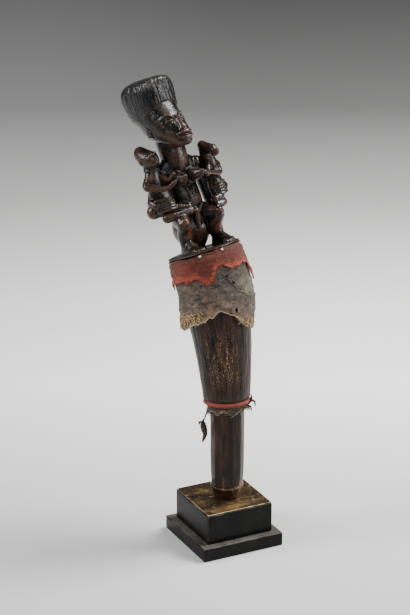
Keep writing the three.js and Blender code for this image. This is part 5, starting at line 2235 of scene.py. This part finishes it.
@dataclass
class HideShreds:
    """What is left of a second hide wrap below the roll, with a hanging strip, a tuft and curls of hair."""

    inner: float = 18.0
    thickness: float = 1.2
    top: float = 161.9
    reach: float = 0.66
    tuck: float = 1.5
    middle: float = 18.0
    strip_size: tuple[float, float] = (40.0, 4.5)
    teeth: tuple[Place, Place] = ((0.9, 1.7, 2), (0.5, 0.6, 9))
    columns: int = 420
    rows: int = 16
    finish: RawHide = RawHide(grey=tone(70, 56, 46), tan=tone(104, 82, 62))
    hair: CoarseHair = CoarseHair(pale=tone(150, 128, 102), brown=tone(50, 36, 28))
    seed: int = 23

    def edge(self, angle: np.ndarray) -> np.ndarray:
        """Gives the depth of the ragged lower edge."""
        return self.top + self.reach * between(SHRED_EDGE, angle) + frayed(angle, self.middle, self.teeth)

    def _lay(self, grid: np.ndarray) -> np.ndarray:
        """Lays the shreds round the grip, where their tips curl off it.

        Args:
            grid: The grid's points, from 0 to 1 round and down.

        Returns:
            Their unbent places.
        """
        angle = grid[:, 0] * 360 - 180
        drop = self.edge(angle) - self.top
        depth = self.top + drop * grid[:, 1]
        flat = around(angle, self.middle, depth)
        curl = 1.3 * np.maximum(wander(flat * (1, 1, 0.2), 5, 2, 5), -0.1) * smoothstep(grid[:, 1], 0.35, 1)
        radius = self.inner + self.thickness / 2 + 0.25 + curl + 0.3 * np.abs(wander(flat, 2.5, 2, 1))
        return around(angle, radius, depth)

    def _locks(self) -> list[list[Joint]]:
        """Gives the paths of the hairs: ragged ones all round, pale curls in front and a tuft at the right.

        Returns:
            The joints of each hair.
        """
        rng = np.random.default_rng(self.seed)
        paths = []
        flat, tuft = (0.3, 1.3), (1.5, 5)
        spans = [
            (-180, 180, 80, (0.8, 2.2), flat), (-22, 8, 30, (1.2, 2.6), flat), (72, 92, 36, (1.5, 4), tuft),
            (-96, -70, 22, (1.5, 4), flat),
        ]
        for start, end, count, lengths, lifts in spans:
            for angle in rng.uniform(start, end, count):
                edge = float(self.edge(np.array([angle]))[0])
                root = rng.uniform(self.top + 0.6, edge)
                length = rng.uniform(*lengths)
                out = rng.uniform(*lifts)
                sway = rng.normal(0, 9)
                hook = rng.uniform(-0.35, 0.9)
                depths = root + length * np.array([0, 0.45, 0.8, 0.8 - 0.25 * hook])
                angles = angle + sway * np.array([0, 0.3, 0.8, 1.2])
                radii = self.inner + self.thickness + out * np.array([0, 0.7, 1.0, 1.15])
                paths.append(lock(angles, radii, depths, rng.uniform(0.14, 0.26), (1, 1, 0.8, 0.5)))
        return paths

    def _strip(self) -> Shape:
        """Makes the strip that hangs off at the left, and the curled flaps at the right.

        Returns:
            The forms as one, unbent.
        """
        wall = self.inner + self.thickness * 0.6
        ways = [
            ([
                (-80, wall, 4, 1.6), (-84, wall + 2, 9, 1.0), (-85, wall + 3.6, 13.5, 0.9),
                (-86, wall + 5.4, 17, 1.3), (-85, wall + 5.4, 20, 2.8), (-84, wall + 4.4, 25, 3.2),
                (-83, wall + 3.6, 29, 2.4), (-85, wall + 4.4, 33, 1.7), (-88, wall + 6.0, 37.5, 0.8),
            ], 3.4),
            ([(-86, wall + 6, 18, 1.2), (-90, wall + 8.4, 18.5, 1.5), (-91, wall + 9.4, 21, 0.7)], 3.0),
            ([(80, wall + 3, 0, 1.6), (82, wall + 5.6, -5, 2.0), (83, wall + 6.2, -9, 0.9)], 2.6),
            ([
                (79, wall, 1, 1.2), (84, wall + 5.6, -3, 2.0), (86, wall + 8.8, -1.5, 1.8),
                (84, wall + 9.6, 2.5, 1.0),
            ], 2.2),
            ([(80, wall + 1, 2, 1.2), (83, wall + 5, 3, 1.7), (81, wall + 5.6, 7.5, 0.9)], 2.2),
        ]
        shapes = []
        for rows, flat in ways:
            joints = [(tuple(around(a, r, self.top + d)[0]), w / flat) for a, r, d, w in rows]
            shapes.append(Shape.limb(joints, 20, flat=flat, per_step=8))
        whole = Shape().absorb(shapes)
        return whole.warp(lambda p: p + 0.55 * np.column_stack([wander(p, 1.9, 2, k) for k in (1, 2, 3)]))

    def build(self) -> None:
        """Makes the shreds and the hair, and dresses them."""
        obj = wrap("hide_remnants", Shape.sheet(self.columns, self.rows), self._lay, self.thickness)
        strip = bent(self._strip()).mesh("strip")
        whole = bmesh.new()
        whole.from_mesh(obj.data)
        whole.from_mesh(strip)
        whole.to_mesh(obj.data)
        whole.free()
        bpy.data.meshes.remove(strip)
        skin = Skin(obj.data)
        angle, depth, _ = angle_and_depth(unbent(obj.data))
        skin.paint("tan", 0.15 + 0.3 * smoothstep(depth, self.top + 2, self.top + 9))
        skin.paint("dark", 0.35 + 0.15 * smoothstep(depth, self.top + 10, self.top + 16))
        for name in ("green", "gold"):
            skin.paint(name, angle * 0)
        skin.paint("rim", 0.7 * bump_between(self.edge(angle) - depth, -1.2, 0.6, 0.4))
        hide = piece(obj, self.finish.material("ragged_hide"), "hide", "hide_shreds")
        locks = piece(linked("hide_hairs", strands(self._locks())), self.hair.material(), "hide")
        wide = 2 * math.pi * (self.inner + self.thickness)
        drop = self.edge(SWEEP) - self.top
        area = (wide * float(drop.mean()) + math.prod(self.strip_size)) * MM * MM
        flat = (wide * MM, (float(drop.max()) + self.tuck) * MM)


@dataclass
class Grip:
    """The faceted grip, with softly worn arrises and a foot drawn in below a ridge."""

    radius: float = 17.4
    foot_radius: float = 12.6
    ridge: float = 13.0
    sides: int = 11
    finish: PolishedGrip = PolishedGrip()

    def build(self) -> None:
        """Makes the grip and dresses it."""
        radius, foot = self.radius, self.foot_radius
        height = AXIS.length() - RING_TOP
        knots = [
            (foot, 0), (foot + 1, 3), (radius - 0.9, self.ridge - 2), (radius - 0.3, self.ridge),
            (radius - 1.4, self.ridge + 2.5), (radius - 0.7, self.ridge + 14), (radius - 0.4, height * 0.5),
            (radius, height - 14), (radius, height),
        ]
        table = [(z, r) for r, z in knots]
        rises = np.unique(np.concatenate([[z for z, _ in table], np.arange(0, height, 2.5)]))
        profile = [(0, 0), *zip(between(table, rises), rises), (0, height)]
        shape = Shape.turned(profile, self.sides)
        bm = shape.bm
        arrises = [e for e in bm.edges if self._is_arris(e)]
        bmesh.ops.bevel(
            bm, geom=arrises, offset=0.9, segments=3, profile=0.5, affect="EDGES", material=-1,
            clamp_overlap=True,
        )
        long = [e for e in bm.edges if e.calc_length() > 3.2]
        bmesh.ops.subdivide_edges(bm, edges=long, cuts=2, use_grid_fill=True)
        bmesh.ops.triangulate(bm, faces=[f for f in bm.faces if len(f.verts) > 4])
        shape.warp(self._hew).placed(Matrix.Translation((0, 0, -AXIS.length())))
        mesh = bent(shape).mesh("grip_handle")
        skin = Skin(mesh)
        angle, depth, reach = angle_and_depth(unbent(mesh))
        rise = AXIS.length() - depth
        flat = math.cos(math.pi / self.sides)
        near_arris = 0.55 * smoothstep(reach / between(table, rise), flat + 0.012, 0.99)
        on_ridge = bump_between(rise, self.ridge - 1.2, self.ridge + 0.8, 0.7)
        # Painted highlight: a golden glint on one side of the foot, added to the wear mask.
        glint = 0.8 * bump_between(angle, 42, 90, 12) * bump_between(rise, 3, 22, 6)
        skin.paint("wear", near_arris + 1.2 * on_ridge + glint)
        mesh.set_sharp_from_angle(angle=math.radians(28))
        piece(linked("grip_handle", mesh), self.finish.material(), "grip", "grip")

    @staticmethod
    def _is_arris(edge: bmesh.types.BMEdge) -> bool:
        """Tells whether an edge runs along the grip between two facets."""
        a, b = (v.co for v in edge.verts)
        return abs(a.z - b.z) > 0.3 * (a - b).length and min(a.xy.length, b.xy.length) > 5

    @staticmethod
    def _hew(points: np.ndarray) -> np.ndarray:
        """Makes the facets a little uneven, as a knife leaves them."""
        uneven = 0.22 * wander(points * (1, 1, 0.4), 13, 2, 3)
        return swollen(points, smoothstep(from_middle(points), 6, 10) * uneven)


@dataclass
class Nails:
    """The dome-headed nails through the cloth's top edge."""

    cloth: ClothBand
    places: tuple[tuple[float, float], ...] = (
        (-8, 4.9), (28, 4.6), (74, 5.0), (125, 5.0), (180, 5.2), (-126, 5.4), (-72, 5.2)
    )
    radius: float = 1.3
    height: float = 0.95
    finish: NailMetal = NailMetal()

    def _head(self, angle: float, depth: float) -> Shape:
        """Makes one nail's head, square to the cloth's slope.

        Args:
            angle: Where it sits, in degrees.
            depth: How far down it sits.

        Returns:
            The nail's head.
        """
        origin, x, y, z = (Vector(v[0]) for v in AXIS.frames(np.array([depth])))
        turn = math.radians(angle + FRONT)
        flat = x * math.cos(turn) + y * math.sin(turn)
        edge = float(between(CLOTH_TOP, angle))
        ends = (edge, self.cloth.shoulder)
        inner = [float(self.cloth.inner(np.array([d]), np.array([angle]))[0]) for d in ends]
        slope = math.atan2(inner[1] - inner[0], self.cloth.shoulder - edge)
        reach = inner[0] + self.cloth.thickness + (depth - edge) * math.tan(slope)
        out = flat * math.cos(slope) + z * math.sin(slope)
        side = z.cross(out).normalized()
        dome = [(0, -0.6), (self.radius * 0.5, -0.6), (self.radius * 0.9, 0), (self.radius, 0.12)]
        for a in (0.4, 0.8, 1.2):
            dome.append((self.radius * math.cos(a), 0.12 + (self.height - 0.12) * math.sin(a)))
        head = Shape.turned([*dome, (0, self.height)], 24)
        return head.placed(standing(origin + flat * reach + out * 0.3, side, out.cross(side), out))

    def build(self) -> None:
        """Makes the nails and dresses them."""
        material = self.finish.material()
        for number, (angle, depth) in enumerate(self.places, 1):
            obj = linked(f"nail_head_{number}", self._head(angle, depth).mesh(f"nail_head_{number}"))
            piece(obj, material, "nail", f"nail_{number}")


class Board(Enum):
    """The plinth's boards: name, CAD node, side, height, bottom, rounding."""

    SLAB = ("slab_board", "plinth_slab", 88.0, 14.0, 0.0, 1.1)
    BLOCK = ("block_board", "plinth_block", 72.0, 31.0, 14.0, 1.3)
    PLATE = ("brass_plate", "plinth_top_plate", 70.6, 1.0, 45.0, 0.35)


@dataclass
class Plinth:
    """The stepped black plinth and its brass top plate."""

    lacquer: BlackLacquer = BlackLacquer()
    brass: PatinatedBrass = PatinatedBrass()

    def _board(self, board: Board, material: bpy.types.Material, slot: str) -> None:
        """Makes one board, with rounded edges that hands have softened.

        Args:
            board: Which board.
            material: Its finish.
            slot: Its slot.
        """
        name, node, side, height, bottom, rounding = board.value
        half = np.array([side, side, height]) / 2
        middle = np.array([0, 0, bottom + height / 2])
        shape = Shape()
        bm = shape.bm
        box = Matrix.Translation(middle) @ Matrix.Diagonal((side, side, height, 1))
        bmesh.ops.create_cube(bm, size=1, matrix=box)
        bmesh.ops.bevel(
            bm, geom=bm.edges[:], offset=rounding, segments=4, profile=0.5, affect="EDGES", material=-1
        )
        for way, count in zip(np.eye(3), (22, 22, 5)):
            for share in np.arange(1, count) / count * 2 - 1:
                whole = bm.verts[:] + bm.edges[:] + bm.faces[:]
                bmesh.ops.bisect_plane(bm, geom=whole, plane_co=middle + way * half * share, plane_no=way)
        mesh = shape.warp(lambda p: self._dented(p, middle, half, rounding)).mesh(name)
        skin = Skin(mesh)
        x, y, z = np.abs(skin.points[:, 0]), np.abs(skin.points[:, 1]), skin.points[:, 2] - bottom
        ends = ((x, side / 2), (y, side / 2), (z, height))
        near = [smoothstep(v, w - 1.6 * rounding, w - 0.2 * rounding) for v, w in ends]
        pairs = near[0] * near[1] + near[1] * near[2] + near[0] * near[2]
        skin.paint("wear", pairs * (0.7 + 0.7 * wander(skin.points, 7, 2, 3)))
        top = smoothstep(skin.normals[:, 2], 0.6, 0.95)
        skin.paint("dust", (0.95 if board is Board.SLAB else 0.5) * top + 0.05)
        piece(linked(name, mesh), material, slot, node)

    @staticmethod
    def _dented(points: np.ndarray, middle: np.ndarray, half: np.ndarray, rounding: float) -> np.ndarray:
        """Dents a board's edges slightly, inward only.

        Args:
            points: The board's corners.
            middle: Its middle.
            half: Half its sizes.
            rounding: The rounding of its edges.

        Returns:
            The corners' new places.
        """
        share = 0.22 * rounding * np.clip(wander(points, 9, 3, 2), 0, 1)
        out = (points - middle) / half
        on_edge = (np.abs(out) > 0.985).sum(axis=1) >= 2
        return points - out * (share * on_edge)[:, None]

    def build(self) -> None:
        """Makes the boards and dresses them."""
        lacquer, brass = self.lacquer.material(), self.brass.material()
        self._board(Board.SLAB, lacquer, "plinth")
        self._board(Board.BLOCK, lacquer, "plinth")
        self._board(Board.PLATE, brass, "plate")


@dataclass
class Studio:
    """The pale floor, the soft lights and the camera."""

    azimuth: float = -26.6
    distance: float = 2000.0
    rise: float = 1006.0
    pitch: float = 20.76
    shift_right: float = -19.0
    focal_pixels: float = 2196.0
    frame_height: int = 615
    sensor: float = 36.0
    floor_reach: float = 6.0
    air: Colour = (0.9, 0.92, 0.95, 1)
    air_strength: float = 0.25
    paper: StudioPaper = StudioPaper()

    def _paper(self) -> None:
        """Lays the floor."""
        bm = bmesh.new()
        bmesh.ops.create_grid(bm, x_segments=24, y_segments=24, size=self.floor_reach)
        mesh = bpy.data.meshes.new("studio_floor")
        bm.to_mesh(mesh)
        bm.free()
        mesh.materials.append(self.paper.material())
        floor = linked("studio_floor", mesh)

    def _right_and_back(self) -> tuple[Vector, Vector]:
        """Gives the level directions to the camera's right, and from the wand to the camera."""
        turn = math.radians(self.azimuth)
        return Vector((math.cos(turn), math.sin(turn), 0)), Vector((math.sin(turn), -math.cos(turn), 0))

    def _camera(self) -> None:
        """Sets the camera up at the photograph's view."""
        right, toward = self._right_and_back()
        tilt = math.radians(self.pitch)
        back = toward * math.cos(tilt) + Vector((0, 0, math.sin(tilt)))
        data = bpy.data.cameras.new("studio_camera")
        data.sensor_fit = "VERTICAL"
        data.sensor_height = self.sensor
        data.lens = self.focal_pixels * self.sensor / self.frame_height
        data.clip_start, data.clip_end = 0.05, 40
        camera = bpy.data.objects.new("studio_camera", data)
        place = toward * self.distance + Vector((0, 0, self.rise)) + right * self.shift_right
        camera.matrix_world = standing(place * MM, right, back.cross(right), back)
        bpy.context.scene.collection.objects.link(camera)
        bpy.context.scene.camera = camera

    def _light(
        self, name: str, across: float, toward: float, up: float, size: float, power: float, tint: Colour
    ) -> None:
        """Hangs one square light, with lengths in metres, and aims it at the wand.

        Args:
            name: The light's name.
            across: How far to the right.
            toward: How far to the camera.
            up: Its height.
            size: Its side.
            power: Its watts.
            tint: Its colour.
        """
        right, front = self._right_and_back()
        data = bpy.data.lights.new(name, "AREA")
        data.size, data.energy, data.color = size, power, tint[:3]
        lamp = bpy.data.objects.new(name, data)
        place = right * across + front * toward + Vector((0, 0, up))
        aim = (place - Vector((0, 0, 0.25))).to_track_quat("Z", "Y").to_matrix().to_4x4()
        lamp.matrix_world = Matrix.Translation(place) @ aim
        bpy.context.scene.collection.objects.link(lamp)

    def build(self) -> None:
        """Sets the studio up."""
        self._paper()
        self._camera()
        white = (1.0, 1.0, 1.0, 1.0)
        self._light("key_softbox", 1.3, -0.5, 2.3, 0.9, 132, (1.0, 0.985, 0.96, 1.0))
        self._light("left_softbox", -1.8, 0.3, 1.3, 0.9, 54, white)
        self._light("right_softbox", 2.0, 0.5, 1.0, 0.8, 34, white)
        self._light("front_softbox", 0.2, 2.4, 2.2, 1.1, 25, white)
        world = bpy.data.worlds.new("studio_air")
        world.use_nodes = True
        background = world.node_tree.nodes["Background"]
        background.inputs["Color"].default_value = self.air
        background.inputs["Strength"].default_value = self.air_strength
        bpy.context.scene.world = world


def main() -> None:
    """Builds the wand and its studio in order."""
    logging.basicConfig(level=logging.INFO, format="%(name)s: %(message)s")
    Plinth().build()
    Grip().build()
    horn = Horn()
    horn.build()
    hide = HideCuff(horn)
    cloth = ClothBand(hide)
    Carving().build()
    hide.build()
    cloth.build()
    ClothRing().build()
    HideShreds().build()
    Nails(cloth).build()
    Studio().build()


if __name__ == "__main__":
    main()
